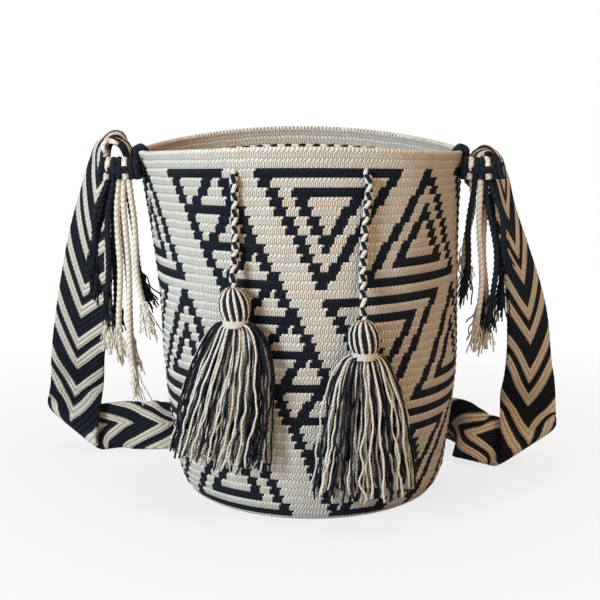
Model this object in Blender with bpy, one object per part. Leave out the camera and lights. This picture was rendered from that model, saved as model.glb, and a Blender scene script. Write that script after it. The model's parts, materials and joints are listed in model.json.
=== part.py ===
"""A crocheted cotton bucket bag with a woven shoulder strap, a drawstring and two yarn tassels.

The bag stands on its round foot at z = 0 with its front towards -Y. Everything that touches the wall is
placed by wall_point, from an angle round the bag, a height and a distance off the wall, so it follows the
bag when a size changes.
"""

import math

import bmesh
import bpy
import numpy as np

# Clearances
SEAT_GAP = 0.0003
BAND_SEAT_GAP = 0.0006

# Crocheted bag: one piece, worked in the round from the middle of the foot to the rim
BAG_HEIGHT = 0.290
WALL_THICKNESS = 0.0036
FLOOR_THICKNESS = 0.0040
WALL_ROUNDS = 44
ROUND_RIDGE = 0.0012
ROUND_STRETCH = 0.003
FOOT_ROUNDING = 0.0100
FOOT_ROUNDING_HEIGHT = 0.0220
WALL_SHARES = (0.00, 0.12, 0.34, 0.57, 1.00)
WALL_HALF_WIDTHS = (0.1095, 0.1150, 0.1235, 0.1252, 0.1365)
WALL_HALF_DEPTHS = (0.1140, 0.1150, 0.1165, 0.1160, 0.1050)
MOUTH_SHIFT_X = -0.0090
MOUTH_SHIFT_Y = 0.0120
RIM_WAVE = 0.0055
RIM_WAVE_HEIGHT = 0.090
BAG_SEGMENTS = 28
INNER_RINGS = 11

# Drawstring: a braided cord through six eyelets just under the rim
CORD_DIAMETER = 0.0060
EYELET_DIAMETER = 0.0130
EYELET_ROUND = 2.4
EYELET_LEFT_ANGLE = -22.5
EYELET_RIGHT_ANGLE = 21.8
EYELET_BACK_ANGLES = (118.0, 146.0, 214.0, 242.0)
CORD_LONGEST_STEP = 0.0175
EYELET_TURN = 2.6
EYELET_LIP_TURN = 0.8

# Tassels: a bundle of yarn folded over the cord's end, tied below the fold. The cords hang a little aslant,
# so each tassel has its own angle round the bag.
LEFT_TASSEL_ANGLE = -24.2
RIGHT_TASSEL_ANGLE = 17.6
LEFT_TASSEL_TOP = 0.190
RIGHT_TASSEL_TOP = 0.166
TASSEL_HEAD_HEIGHT = 0.0240
TASSEL_HEAD_RADIUS = 0.0115
TASSEL_NECK_RADIUS = 0.0080
TASSEL_TIE_HEIGHT = 0.0060
TASSEL_TIE_THICKNESS = 0.0022
TASSEL_TIE_SIDES = 16
LEFT_SKIRT_LENGTH = 0.112
RIGHT_SKIRT_LENGTH = 0.110
LEFT_SKIRT_HALF_WIDTH = 0.043
RIGHT_SKIRT_HALF_WIDTH = 0.040
SKIRT_HALF_DEPTH = 0.0135
LEFT_SKIRT_LEAN = -0.024
RIGHT_SKIRT_LEAN = 0.003
TASSEL_LOBES = 12
TASSEL_LOBE_DEPTH = 0.06
SKIRT_WALL_HEIGHT = 0.070

# Strap: one woven band, lashed to the rim on both sides. It hangs down each side, folds on the floor and
# runs round behind the bag, where it lies flat and turns over once. Each end is seated on its lashing between
# two heights, as shares of the bag's. Below it, a side is given by its distance out from the seat, its place
# from front to back, its height as a share of the rim's, and the angle that its width has turned from facing
# the viewer. A floor fold is given by the place of its middle, out from the seat and from front to back, and
# by four angles: turned from facing the viewer, leant back, swung outward, and the fold's own to the band.
STRAP_WIDTH = 0.0500
STRAP_THICKNESS = 0.0046
STRAP_EDGE_THICKNESS = 0.0026
STRAP_ANGLE = 90.0
STRAP_FOLD_RADIUS = 0.0045
STRAP_COLUMNS = (-1.0, -0.88, 0.0, 0.88, 1.0)
STRAP_STEP = 0.024
STRAP_TURN_STEP = 30.0
STRAP_FOLD_ROWS = 8
STRAP_FINE_STEP = 0.002
STRAP_FOLD_MARGIN = 0.0040
STRAP_RUN_IN = 1.25
FLOOR_GAP = 0.0005
STRAP_LEFT_SEAT = (0.912, 0.972)
STRAP_LEFT_SIDE = (
    (0.0055, 0.0125, 1.018, 86.0),
    (0.0125, 0.0140, 1.026, 80.0),
    (0.0200, 0.0170, 0.996, 70.0),
    (0.0245, 0.0220, 0.935, 60.0),
    (0.0300, 0.0310, 0.839, 50.0),
    (0.0380, 0.0460, 0.713, 37.0),
    (0.0460, 0.0640, 0.580, 26.0),
    (0.0545, 0.0830, 0.443, 18.0),
    (0.0620, 0.1020, 0.302, 10.0),
)
STRAP_LEFT_FOLD = (0.0680, 0.0940, 0.0, 50.0, 2.0, 50.0)
STRAP_RIGHT_SEAT = (0.886, 0.946)
STRAP_RIGHT_SIDE = (
    (0.0055, 0.0125, 0.988, 86.0),
    (0.0115, 0.0130, 0.994, 82.0),
    (0.0190, 0.0140, 0.970, 76.0),
    (0.0240, 0.0160, 0.914, 70.0),
    (0.0295, 0.0200, 0.815, 64.0),
    (0.0395, 0.0270, 0.696, 58.0),
    (0.0490, 0.0360, 0.573, 50.0),
    (0.0550, 0.0450, 0.478, 43.0),
    (0.0590, 0.0540, 0.383, 36.0),
    (0.0605, 0.0580, 0.288, 26.0),
)
STRAP_RIGHT_FOLD = (0.0590, 0.0380, -6.0, 48.0, 0.0, 52.0)
# Angle round the bag, distance off the wall, and the angle of the band's width below level
STRAP_FLOOR = (
    (236.0, 0.0700, 36.0),
    (222.0, 0.0540, 40.0),
    (203.0, 0.0400, 12.0),
    (180.0, 0.0350, 0.0),
    (159.0, 0.0430, -12.0),
    (142.0, 0.0520, -36.0),
    (127.0, 0.0580, -60.0),
)

# Lashings of cord over the rim, and the knots that the fringe hangs from
LASHING_WIDTH = 0.0220
LASHING_THICKNESS = 0.0044
LASHING_DROP = 0.0240
LASHING_INSIDE_DROP = 0.0100
LASHING_TURNS = 4
LASHING_FORWARD = 6.0
KNOT_HALF_WIDTH = 0.0178
KNOT_HALF_DEPTH = 0.0078
KNOT_HALF_HEIGHT = 0.0085
KNOT_DROP = 0.0130
KNOT_OUT = 0.0040
KNOT_TURNS = 4
KNOT_SIDES = 14
KNOT_GROOVE = 0.9
KNOT_CROWN = 0.5

# Fringe: plied cords with cut ends
# The cords of each side hang in a front row and a back row: length, sideways sway and yarn of each
FRINGE_DIAMETER = 0.0052
FRINGE_PITCH = 0.0062
FRINGE_STEP = 0.0155
LEFT_FRINGE = (
    ((0.076, -0.007, "black"), (0.118, -0.003, "black"), (0.150, 0.000, "cream"), (0.182, 0.004, "cream"),
     (0.128, 0.009, "cream")),
    ((0.098, -0.008, "black"), (0.140, -0.004, "cream"), (0.124, 0.001, "black"), (0.160, 0.006, "cream"),
     (0.104, 0.011, "black")),
)
RIGHT_FRINGE = (
    ((0.100, -0.003, "black"), (0.138, -0.001, "cream"), (0.122, 0.002, "black"), (0.076, 0.010, "black")),
    ((0.084, -0.004, "cream"), (0.128, -0.001, "black"), (0.142, 0.003, "cream"), (0.112, 0.008, "black")),
)

CREAM_YARN = (0.66, 0.56, 0.43)
BLACK_YARN = (0.012, 0.012, 0.016)
MIXED_YARN = (0.30, 0.26, 0.21)


def cotton(name, colour):
    material = bpy.data.materials.new(name)
    material.use_nodes = True
    shader = material.node_tree.nodes["Principled BSDF"]
    shader.inputs["Base Color"].default_value = (*colour, 1.0)
    shader.inputs["Roughness"].default_value = 0.9
    shader.inputs["Metallic"].default_value = 0.0
    return material


def add_mesh(name, points, faces, material):
    """One closed object from points and faces, with its normals made to face out."""
    mesh = bpy.data.meshes.new(name)
    mesh.from_pydata([tuple(p) for p in points], [], faces)
    builder = bmesh.new()
    builder.from_mesh(mesh)
    bmesh.ops.recalc_face_normals(builder, faces=builder.faces)
    builder.to_mesh(mesh)
    builder.free()
    mesh.materials.append(material)
    mesh.shade_smooth()
    mesh.set_sharp_from_angle(angle=math.radians(50))
    obj = bpy.data.objects.new(name, mesh)
    bpy.context.scene.collection.objects.link(obj)
    return obj


def loft(name, rings, material):
    """A closed body through equal rings of points, with a flat cap on each end."""
    count, around = len(rings), len(rings[0])
    faces = []
    for i in range(count - 1):
        for j in range(around):
            k = (j + 1) % around
            faces.append((i * around + j, i * around + k, (i + 1) * around + k, (i + 1) * around + j))
    faces.append(tuple(range(around)))
    faces.append(tuple(range((count - 1) * around, count * around)))
    return add_mesh(name, np.concatenate(rings), faces, material)


def smooth_curve(knots, values, at):
    """Cubic curve through the knots, with slopes from the neighbouring knots."""
    knots = np.asarray(knots, float)
    values = np.asarray(values, float)
    slopes = np.gradient(values, knots, axis=0)
    at = np.clip(np.asarray(at, float), knots[0], knots[-1])
    i = np.clip(np.searchsorted(knots, at) - 1, 0, len(knots) - 2)
    step = knots[i + 1] - knots[i]
    t = (at - knots[i]) / step
    if values.ndim > 1:
        t = t[:, None]
        step = step[:, None]
    start = (2 * t**3 - 3 * t**2 + 1) * values[i] + (t**3 - 2 * t**2 + t) * step * slopes[i]
    return start + (3 * t**2 - 2 * t**3) * values[i + 1] + (t**3 - t**2) * step * slopes[i + 1]


def along_route(route, spacing):
    """Points at about the same spacing along a smooth curve through the route."""
    route = np.asarray(route, float)
    chord = np.concatenate([[0], np.cumsum(np.linalg.norm(np.diff(route[:, :3], axis=0), axis=1))])
    fine = smooth_curve(chord, route, np.linspace(0, chord[-1], 2000))
    length = np.concatenate([[0], np.cumsum(np.linalg.norm(np.diff(fine[:, :3], axis=0), axis=1))])
    count = max(2, round(length[-1] / spacing) + 1)
    at = np.linspace(0, length[-1], count)
    return np.stack([np.interp(at, length, fine[:, i]) for i in range(fine.shape[1])], axis=1)


def foot_inset(height):
    """How far the rounded edge of the foot draws the wall in at a height."""
    rise = np.clip(np.asarray(height, float) / FOOT_ROUNDING_HEIGHT, 0, 1)
    return FOOT_ROUNDING * (1 - np.sqrt(1 - (1 - rise) ** 2))


def wall_axes(height):
    """Half width and half depth of the bag at a height."""
    share = np.asarray(height, float) / BAG_HEIGHT
    inset = foot_inset(height)
    half_width = smooth_curve(WALL_SHARES, WALL_HALF_WIDTHS, share) - inset
    return half_width, smooth_curve(WALL_SHARES, WALL_HALF_DEPTHS, share) - inset


def wall_centre(height):
    """The bag leans a little: its mouth sits to one side of its foot."""
    share = np.clip(np.asarray(height, float) / BAG_HEIGHT, 0, 1)
    sideways = MOUTH_SHIFT_X * np.clip((share - 0.34) / 0.66, 0, 1) ** 1.2
    rise = np.clip((share - 0.48) / 0.42, 0, 1)
    return sideways, MOUTH_SHIFT_Y * rise**2 * (3 - 2 * rise)


def wall_point(degrees, height, off=0.0):
    """A point off the wall's outer face. 0 degrees is the front and 90 is the right side."""
    angle = np.radians(np.asarray(degrees, float))
    height = np.asarray(height, float)
    half_width, half_depth = wall_axes(height)
    centre_x, centre_y = wall_centre(height)
    lift = RIM_WAVE * np.clip(1 + (height - BAG_HEIGHT) / RIM_WAVE_HEIGHT, 0, 1) ** 2
    return np.stack(
        np.broadcast_arrays(
            centre_x + (half_width + off) * np.sin(angle),
            centre_y - (half_depth + off) * np.cos(angle),
            height + lift * np.cos(2 * angle),
        ),
        axis=-1,
    )


def round_height(rounds):
    """Height of a round counted down from the rim. The rounds in the middle are stretched a little."""
    heights = np.linspace(BAG_HEIGHT, 0, 1200)
    depth = wall_axes(heights)[1]
    run = np.concatenate([[0], np.cumsum(np.hypot(np.diff(depth), np.diff(heights)))])
    share = np.asarray(rounds, float) / WALL_ROUNDS
    return np.interp(share * run[-1] + ROUND_STRETCH * np.sin(np.pi * share), run, heights)


def bag_body(material):
    """Outer wall of ridged rounds, rolled rim, inner wall, floor and flat foot, as one closed mesh."""
    degrees = np.arange(BAG_SEGMENTS) * 360.0 / BAG_SEGMENTS
    rings = [wall_point(degrees, BAG_HEIGHT, -WALL_THICKNESS / 2)]
    for i in range(1, 2 * WALL_ROUNDS):
        ridge = ROUND_RIDGE / 2 if i % 2 else -ROUND_RIDGE / 2
        rings.append(wall_point(degrees, round_height(i / 2), ridge))
    rings.append(wall_point(degrees, 0.0))
    outer = len(rings)
    inner_heights = np.linspace(FLOOR_THICKNESS, round_height(0.5), INNER_RINGS)
    rings.extend(wall_point(degrees, h, -WALL_THICKNESS) for h in inner_heights)
    count = len(rings)
    faces = []

    def join(low, high):
        for j in range(BAG_SEGMENTS):
            k = (j + 1) % BAG_SEGMENTS
            a, b = low * BAG_SEGMENTS, high * BAG_SEGMENTS
            faces.append((a + j, a + k, b + k, b + j))

    for i in range(outer - 1):
        join(i, i + 1)
    for i in range(outer, count - 1):
        join(i, i + 1)
    join(count - 1, 0)
    foot = count * BAG_SEGMENTS
    for j in range(BAG_SEGMENTS):
        k = (j + 1) % BAG_SEGMENTS
        faces.append(((outer - 1) * BAG_SEGMENTS + j, (outer - 1) * BAG_SEGMENTS + k, foot))
        faces.append((outer * BAG_SEGMENTS + j, outer * BAG_SEGMENTS + k, foot + 1))
    points = np.concatenate([*rings, [(0, 0, 0)], [(0, 0, FLOOR_THICKNESS)]])
    body = add_mesh("bag_body", points, faces, material)
    for number, degrees in enumerate(eyelet_angles()):
        cut_eyelet(body, number, degrees)
    return body


def eyelet_angles():
    return (EYELET_LEFT_ANGLE, EYELET_RIGHT_ANGLE, *EYELET_BACK_ANGLES)


def wall_normal(degrees, height):
    """Level direction straight out of the wall."""
    side = wall_point(degrees + 0.5, height) - wall_point(degrees - 0.5, height)
    normal = np.array([side[1], -side[0], 0.0])
    return normal / np.linalg.norm(normal)


def cut_eyelet(body, number, degrees):
    height = round_height(EYELET_ROUND)
    centre = wall_point(degrees, height, -WALL_THICKNESS / 2)
    normal = wall_normal(degrees, height)
    side = np.array([-normal[1], normal[0], 0.0])
    turn = np.linspace(0, 2 * math.pi, 10, endpoint=False)
    up = np.array([0, 0, 1.0])
    ring = EYELET_DIAMETER / 2 * (np.cos(turn)[:, None] * side + np.sin(turn)[:, None] * up)
    reach = 3 * WALL_THICKNESS
    cutter = loft(f"eyelet_cutter_{number}", [centre - reach * normal + ring, centre + reach * normal + ring],
                  body.data.materials[0])
    cutter.hide_render = True
    cutter.display_type = "WIRE"
    cut = body.modifiers.new(f"eyelet_{number}", "BOOLEAN")
    cut.operation = "DIFFERENCE"
    cut.solver = "EXACT"
    cut.object = cutter


def tube(name, points, diameter, material):
    """A cord: a round tube along a line of points."""
    curve = bpy.data.curves.new(name, "CURVE")
    curve.dimensions = "3D"
    curve.bevel_depth = diameter / 2
    curve.bevel_resolution = 2
    curve.use_fill_caps = True
    spline = curve.splines.new("POLY")
    spline.points.add(len(points) - 1)
    for spot, point in zip(spline.points, points):
        spot.co = (*point, 1.0)
    curve.materials.append(material)
    obj = bpy.data.objects.new(name, curve)
    bpy.context.scene.collection.objects.link(obj)
    return obj


def outside_cord_offset():
    return ROUND_RIDGE / 2 + SEAT_GAP + CORD_DIAMETER / 2


def facet_sag():
    """How far the flat facets of the inner wall stand inside the true curve."""
    return max(WALL_HALF_WIDTHS) * (1 - math.cos(math.pi / BAG_SEGMENTS))


def inside_cord_offset():
    return -(WALL_THICKNESS + facet_sag() + SEAT_GAP + CORD_DIAMETER / 2)


def tassel_offset():
    """Distance of a tassel's middle off the wall."""
    return ROUND_RIDGE / 2 + SEAT_GAP + TASSEL_HEAD_RADIUS * (1 + TASSEL_LOBE_DEPTH)


def drawstring_tail(low_angle, degrees, top, inward):
    """Route from a tassel up to its eyelet, lying on the wall, and through to the inside."""
    eyelet = round_height(EYELET_ROUND)
    near = outside_cord_offset()
    far = tassel_offset()
    drop = eyelet - top
    end = wall_point(low_angle, top, far)
    slant = degrees - low_angle
    return [
        end + np.array([0, 0, SEAT_GAP]),
        end + np.array([0, 0, SEAT_GAP + CORD_DIAMETER]),
        wall_point(low_angle + 0.35 * slant, top + 0.35 * drop, near + 0.0022),
        wall_point(low_angle + 0.62 * slant, top + 0.62 * drop, near + 0.0008),
        wall_point(degrees, eyelet - 2.2 * CORD_DIAMETER, near + 0.0008),
        wall_point(degrees, eyelet - CORD_DIAMETER, near + 0.0012),
        wall_point(degrees, eyelet - 0.0012, 0.0012),
        wall_point(degrees + inward * EYELET_LIP_TURN, eyelet, -WALL_THICKNESS - 0.0012),
    ]


def drawstring_route():
    """Right tail, round the inside of the right side, two stitches at the back, and out to the left tail."""
    height = round_height(EYELET_ROUND)
    offsets = (inside_cord_offset(), outside_cord_offset())
    lips = (-WALL_THICKNESS - 0.0012, 0.0012)
    stops = (EYELET_RIGHT_ANGLE, *EYELET_BACK_ANGLES, 360 + EYELET_LEFT_ANGLE)
    route = drawstring_tail(RIGHT_TASSEL_ANGLE, EYELET_RIGHT_ANGLE, RIGHT_TASSEL_TOP, 1)
    for i in range(len(stops) - 1):
        start, end = stops[i] + EYELET_TURN, stops[i + 1] - EYELET_TURN
        for degrees in np.linspace(start, end, max(2, round((end - start) / 15) + 1)):
            route.append(wall_point(degrees, height, offsets[i % 2]))
        if i < len(stops) - 2:
            route.append(wall_point(stops[i + 1] - EYELET_LIP_TURN, height, lips[i % 2]))
            route.append(wall_point(stops[i + 1] + EYELET_LIP_TURN, height, lips[(i + 1) % 2]))
    last = drawstring_tail(LEFT_TASSEL_ANGLE, EYELET_LEFT_ANGLE, LEFT_TASSEL_TOP, -1)
    return np.array(route + last[::-1])


def through(route, longest):
    """Every route point, with points of the smooth curve between those that lie far apart."""
    gaps = np.linalg.norm(np.diff(route, axis=0), axis=1)
    chord = np.concatenate([[0], np.cumsum(gaps)])
    at = [np.linspace(chord[i], chord[i + 1], max(1, math.ceil(gap / longest)), endpoint=False)
          for i, gap in enumerate(gaps)]
    return smooth_curve(chord, route, np.concatenate([*at, chord[-1:]]))


def drawstring(material):
    return tube("drawstring", through(drawstring_route(), CORD_LONGEST_STEP), CORD_DIAMETER, material)


def beside_wall(degrees, height, shift, off):
    """Points at a height, a distance round the wall from an angle, and a distance off it."""
    radius = sum(wall_axes(SKIRT_WALL_HEIGHT)) / 2 + TASSEL_HEAD_RADIUS
    points = wall_point(degrees + np.degrees(shift / radius), max(height, SKIRT_WALL_HEIGHT), off)
    points[:, 2] = height
    return points


def tassel_ring(degrees, height, shift, middle, half_width, half_depth):
    """One ring of a tassel, with its back lying along the wall."""
    turn = np.arange(2 * TASSEL_LOBES) * math.pi / TASSEL_LOBES
    lobe = 1 + TASSEL_LOBE_DEPTH * np.cos(TASSEL_LOBES * turn)
    across = shift + half_width * lobe * np.cos(turn)
    return beside_wall(degrees, height, across, middle + half_depth * lobe * np.sin(turn))


def tassel(side, degrees, top, length, half_width, lean, yarn, tie_yarn):
    """The yarn: a round head, a neck and a spread skirt. The tie: a ring of cord round the neck."""
    head, neck = TASSEL_HEAD_RADIUS, TASSEL_NECK_RADIUS
    tie_top = top - TASSEL_HEAD_HEIGHT
    skirt_top = tie_top - TASSEL_TIE_HEIGHT
    outline = (
        (top, 0.40 * head),
        (top - 0.10 * TASSEL_HEAD_HEIGHT, 0.74 * head),
        (top - 0.35 * TASSEL_HEAD_HEIGHT, 0.98 * head),
        (top - 0.65 * TASSEL_HEAD_HEIGHT, head),
        (top - 0.90 * TASSEL_HEAD_HEIGHT, 0.86 * head),
        (tie_top, neck),
        (skirt_top, neck),
    )
    rings = [tassel_ring(degrees, height, 0.0, tassel_offset(), r, r) for height, r in outline]
    for share in (0.10, 0.28, 0.52, 0.76, 1.0):
        width = neck + (half_width - neck) * share**0.75
        depth = head + (SKIRT_HALF_DEPTH - head) * share
        middle = ROUND_RIDGE / 2 + SEAT_GAP + depth * (1 + TASSEL_LOBE_DEPTH)
        shift = lean * share**1.3
        rings.append(tassel_ring(degrees, skirt_top - share * length, shift, middle, width, depth))
    loft(f"tassel_{side}_yarn", rings, yarn)
    tie(f"tassel_{side}_tie", degrees, skirt_top, tie_yarn)


def tie(name, degrees, low, material):
    """A ring of cord wound twice round the neck."""
    widest = TASSEL_NECK_RADIUS * (1 + TASSEL_LOBE_DEPTH) + SEAT_GAP
    inner = widest / math.cos(math.pi / TASSEL_TIE_SIDES)
    height = TASSEL_TIE_HEIGHT - 2 * SEAT_GAP
    section = [(inner, 0.0)]
    for i in range(5):
        section.append((inner + TASSEL_TIE_THICKNESS * (1.0 if i % 2 else 0.6), i / 4))
    section.append((inner, 1.0))
    turn = np.arange(TASSEL_TIE_SIDES) * 2 * math.pi / TASSEL_TIE_SIDES
    rings = []
    for radius, share in section:
        off = tassel_offset() + radius * np.sin(turn)
        rings.append(beside_wall(degrees, low + SEAT_GAP + share * height, radius * np.cos(turn), off))
    count, around = len(rings), len(turn)
    faces = []
    for i in range(count):
        k = (i + 1) % count
        for j in range(around):
            m = (j + 1) % around
            faces.append((i * around + j, i * around + m, k * around + m, k * around + j))
    add_mesh(name, np.concatenate(rings), faces, material)


def unit(vector):
    return vector / np.linalg.norm(vector)


def rim_height_at_sides():
    return float(wall_point(STRAP_ANGLE, BAG_HEIGHT)[2])


def strap_seat():
    """Distance of the band's middle off the wall where it lies on the lashing."""
    return ROUND_RIDGE / 2 + SEAT_GAP + LASHING_THICKNESS + BAND_SEAT_GAP + STRAP_THICKNESS / 2


def side_sign(side):
    return -1.0 if side == "left" else 1.0


def seat_point(side, height):
    """Middle of the band where it lies on the lashing."""
    return wall_point(side_sign(side) * STRAP_ANGLE, height, strap_seat())


def out_from_side(side, out):
    """A sideways position, measured out from where the band is seated at the rim."""
    return float(seat_point(side, BAG_HEIGHT)[0]) + side_sign(side) * out


def fold_frame(side, fold):
    """Middle of a floor fold, its directions down the band, across it towards the bag and behind it, and the
    fold's angle to the band. It stands with its lowest corner just clear of the floor."""
    out, y, *angles = fold
    sign = side_sign(side)
    turned, leant, swung, crease = (math.radians(a) for a in angles)
    level = np.array([-sign * math.cos(turned), -math.sin(turned), 0.0])
    back = np.array([-sign * math.sin(turned), math.cos(turned), 0.0])
    slope = -math.sin(leant) * back - np.array([0, 0, math.cos(leant)])
    down = math.cos(swung) * slope - math.sin(swung) * level
    across = math.cos(swung) * level + math.sin(swung) * slope
    behind = np.cross(across, down) * -sign
    frame = (np.array([out_from_side(side, out), y, 0.0]), down, across, behind, crease)
    frame[0][2] = FLOOR_GAP + STRAP_THICKNESS / 2 - fold_rows(side, frame)[0][..., 2].min()
    return frame


def fold_reach(crease):
    """How far along the band a fold begins before its middle, and ends past it."""
    before = STRAP_WIDTH / 2 / math.tan(crease) + STRAP_FOLD_MARGIN
    return before, before + math.pi * STRAP_FOLD_RADIUS / math.sin(crease)


def fold_lines(frame):
    """Directions along the fold and square to it, away from the band."""
    _, down, across, _, crease = frame
    along = math.cos(crease) * down + math.sin(crease) * across
    return along, math.sin(crease) * down - math.cos(crease) * across


def fold_rows(side, frame):
    """The band rolled round a diagonal by a half turn of the fold's radius. Its rows lie along the fold."""
    middle, _, _, behind, crease = frame
    along, over = fold_lines(frame)
    radius = STRAP_FOLD_RADIUS
    width = np.array(STRAP_COLUMNS) * STRAP_WIDTH / 2
    rolled = np.linspace(0, math.pi * radius, STRAP_FOLD_ROWS)[:, None]
    on_fold = (width / math.sin(crease) + rolled / math.tan(crease))[..., None]
    turn = (rolled / radius + 0 * width)[..., None]
    rows = middle + on_fold * along + radius * (np.sin(turn) * over + (1 - np.cos(turn)) * behind)
    return rows, side_sign(side) * (np.cos(turn) * behind - np.sin(turn) * over)


def fold_exit(frame):
    """Middle of the band where it leaves a fold, and its directions ahead and across there."""
    middle, down, across, behind, crease = frame
    _, over = fold_lines(frame)
    ahead = math.cos(2 * crease) * down + math.sin(2 * crease) * across
    shift = math.pi * STRAP_FOLD_RADIUS * over + 2 * STRAP_FOLD_RADIUS * behind
    end = middle + fold_reach(crease)[1] * ahead + shift
    return end, ahead, math.sin(2 * crease) * down - math.cos(2 * crease) * across


def band_rows(points):
    """Level or tilted rows across a band. Each point holds a place and the band's direction across there."""
    path = along_route(points, STRAP_FINE_STEP)
    ahead = np.gradient(path[:, :3], axis=0)
    ahead /= np.linalg.norm(ahead, axis=1)[:, None]
    width = path[:, 3:] - (path[:, 3:] * ahead).sum(axis=1)[:, None] * ahead
    width /= np.linalg.norm(width, axis=1)[:, None]
    return path[:, :3], width


def spread(middle, width):
    return middle[:, None] + np.array(STRAP_COLUMNS)[None, :, None] * STRAP_WIDTH / 2 * width[:, None]


def side_rows(side, seat, route, frame):
    """The hanging part of the band, from its lashing down to its floor fold."""
    sign = side_sign(side)
    middle, down, across, _, crease = frame
    before = fold_reach(crease)[0]
    rim = rim_height_at_sides()
    points = [(*seat_point(side, share * BAG_HEIGHT), 0.0, -1.0, 0.0) for share in seat]
    for out, y, share, turned in route:
        turn = math.radians(turned)
        points.append((out_from_side(side, out), y, share * rim, -sign * math.cos(turn), -math.sin(turn), 0.0))
    points.append((*(middle - STRAP_RUN_IN * before * down), *across))
    points.append((*(middle - before * down), *across))
    return spread(*band_rows(points))


def floor_rise(slope):
    """Height of the band's middle when it rests on the floor, tilted with this slope across."""
    return STRAP_WIDTH / 2 * np.abs(slope) + STRAP_THICKNESS / 2 * np.sqrt(1 - slope**2) + FLOOR_GAP


def floor_rows(left, right):
    """The part on the floor between the folds. It leans back, lies flat behind the bag and turns over."""
    points = []
    end, ahead, across = fold_exit(left)
    points += [(*end, *across), (*(end + STRAP_WIDTH / 4 * ahead), *across)]
    for degrees, off, lean in STRAP_FLOOR:
        slope = math.radians(lean)
        inward = -wall_normal(degrees, 0.0) * math.cos(slope)
        place = wall_point(degrees, 0.0, off)
        place[2] = floor_rise(math.sin(slope))
        points.append((*place, inward[0], inward[1], -math.sin(slope)))
    end, ahead, across = fold_exit(right)
    points += [(*(end + STRAP_WIDTH / 4 * ahead), *-across), (*end, *-across)]
    middle, width = band_rows(points)
    middle[:, 2] = np.maximum(middle[:, 2], floor_rise(width[:, 2]))
    return spread(middle, width)


def thinned(rows):
    """The rows that the shape needs, closer together where any column bends, and the normals there."""
    normal = np.cross(np.gradient(rows, axis=0), np.gradient(rows, axis=1))
    normal /= np.linalg.norm(normal, axis=2)[..., None]
    steps = np.linalg.norm(np.diff(rows[:, len(STRAP_COLUMNS) // 2], axis=0), axis=1)
    bends = np.degrees(np.arccos(np.clip((normal[1:] * normal[:-1]).sum(axis=2), -1, 1))).max(axis=1)
    measure = np.concatenate([[0], np.cumsum(steps / STRAP_STEP + bends / STRAP_TURN_STEP)])
    marks = np.linspace(0, measure[-1], math.ceil(measure[-1]) + 1)
    keep = np.unique(np.clip(np.searchsorted(measure, marks), 0, len(rows) - 1))
    return rows[keep], normal[keep]


def strap(material):
    """The whole band as one closed body: its middle surface, thickened to both sides."""
    left = fold_frame("left", STRAP_LEFT_FOLD)
    right = fold_frame("right", STRAP_RIGHT_FOLD)
    parts = [
        thinned(side_rows("left", STRAP_LEFT_SEAT, STRAP_LEFT_SIDE, left)),
        fold_rows("left", left),
        thinned(floor_rows(left, right)),
        [part[::-1, ::-1] for part in fold_rows("right", right)],
        [part[::-1, ::-1] for part in thinned(side_rows("right", STRAP_RIGHT_SEAT, STRAP_RIGHT_SIDE, right))],
    ]
    rows = np.concatenate([part[0] for part in parts])
    normal = np.concatenate([part[1] for part in parts])
    half = np.where(np.abs(STRAP_COLUMNS) == 1, STRAP_EDGE_THICKNESS, STRAP_THICKNESS) / 2
    lift = normal * half[None, :, None]
    return loft("strap", np.concatenate([rows + lift, (rows - lift)[:, ::-1]], axis=1), material)


def lashing(side, material):
    """Turns of cord laid over the rim: down the outside of the wall, over the top, down the inside."""
    degrees = side_sign(side) * (STRAP_ANGLE - LASHING_FORWARD)
    outer = ROUND_RIDGE / 2 + SEAT_GAP
    inner = -WALL_THICKNESS - facet_sag() - SEAT_GAP
    low = BAG_HEIGHT - LASHING_DROP
    middle, bend = (outer + inner) / 2, (outer - inner) / 2
    top = BAG_HEIGHT + SEAT_GAP - bend
    path = [(low, outer, 0.0), ((low + top) / 2, outer, 0.0)]
    for turn in np.linspace(0, math.pi, 7):
        path.append((top + bend * math.sin(turn), middle + bend * math.cos(turn), turn))
    path.append((BAG_HEIGHT - LASHING_INSIDE_DROP, inner, math.pi))
    across = np.linspace(-0.5, 0.5, 2 * LASHING_TURNS + 1)
    crest = LASHING_THICKNESS * np.where(np.arange(len(across)) % 2, 1.0, 0.7)
    radius = WALL_HALF_DEPTHS[-1] ** 2 / WALL_HALF_WIDTHS[-1]
    round_wall = np.degrees(across * LASHING_WIDTH / radius)
    rings = []
    for height, off, turn in path:
        outside = [wall_point(degrees + a, height + c * math.sin(turn), off + c * math.cos(turn))
                   for a, c in zip(round_wall, crest)]
        inside = [wall_point(degrees + a, height, off) for a in round_wall[::-2]]
        rings.append(np.array(outside + inside))
    return loft(f"lashing_{side}", rings, material)


def knot_middle(side):
    """The knot sits against the front edge of the band, beside the lashing."""
    front = seat_point(side, BAG_HEIGHT)[1] - STRAP_WIDTH / 2 - SEAT_GAP - KNOT_HALF_DEPTH
    return np.array([out_from_side(side, KNOT_OUT), front, rim_height_at_sides() - KNOT_DROP])


def fringe_knot(side, material):
    """A flattened head bound with turns of cord. The fringe cords come out of its level underside."""
    middle = knot_middle(side)
    turn = np.arange(KNOT_SIDES) * 2 * math.pi / KNOT_SIDES
    outline = [(i / KNOT_TURNS - 1, 1.0 if i % 2 else KNOT_GROOVE) for i in range(2 * KNOT_TURNS)]
    rings = []
    for rise, share in (*outline, (1.0, KNOT_CROWN)):
        ring = np.stack([KNOT_HALF_WIDTH * np.cos(turn), KNOT_HALF_DEPTH * np.sin(turn), 0 * turn], axis=1)
        rings.append(middle + ring * share + np.array([0, 0, rise * KNOT_HALF_HEIGHT]))
    return loft(f"fringe_knot_{side}", rings, material)


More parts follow.
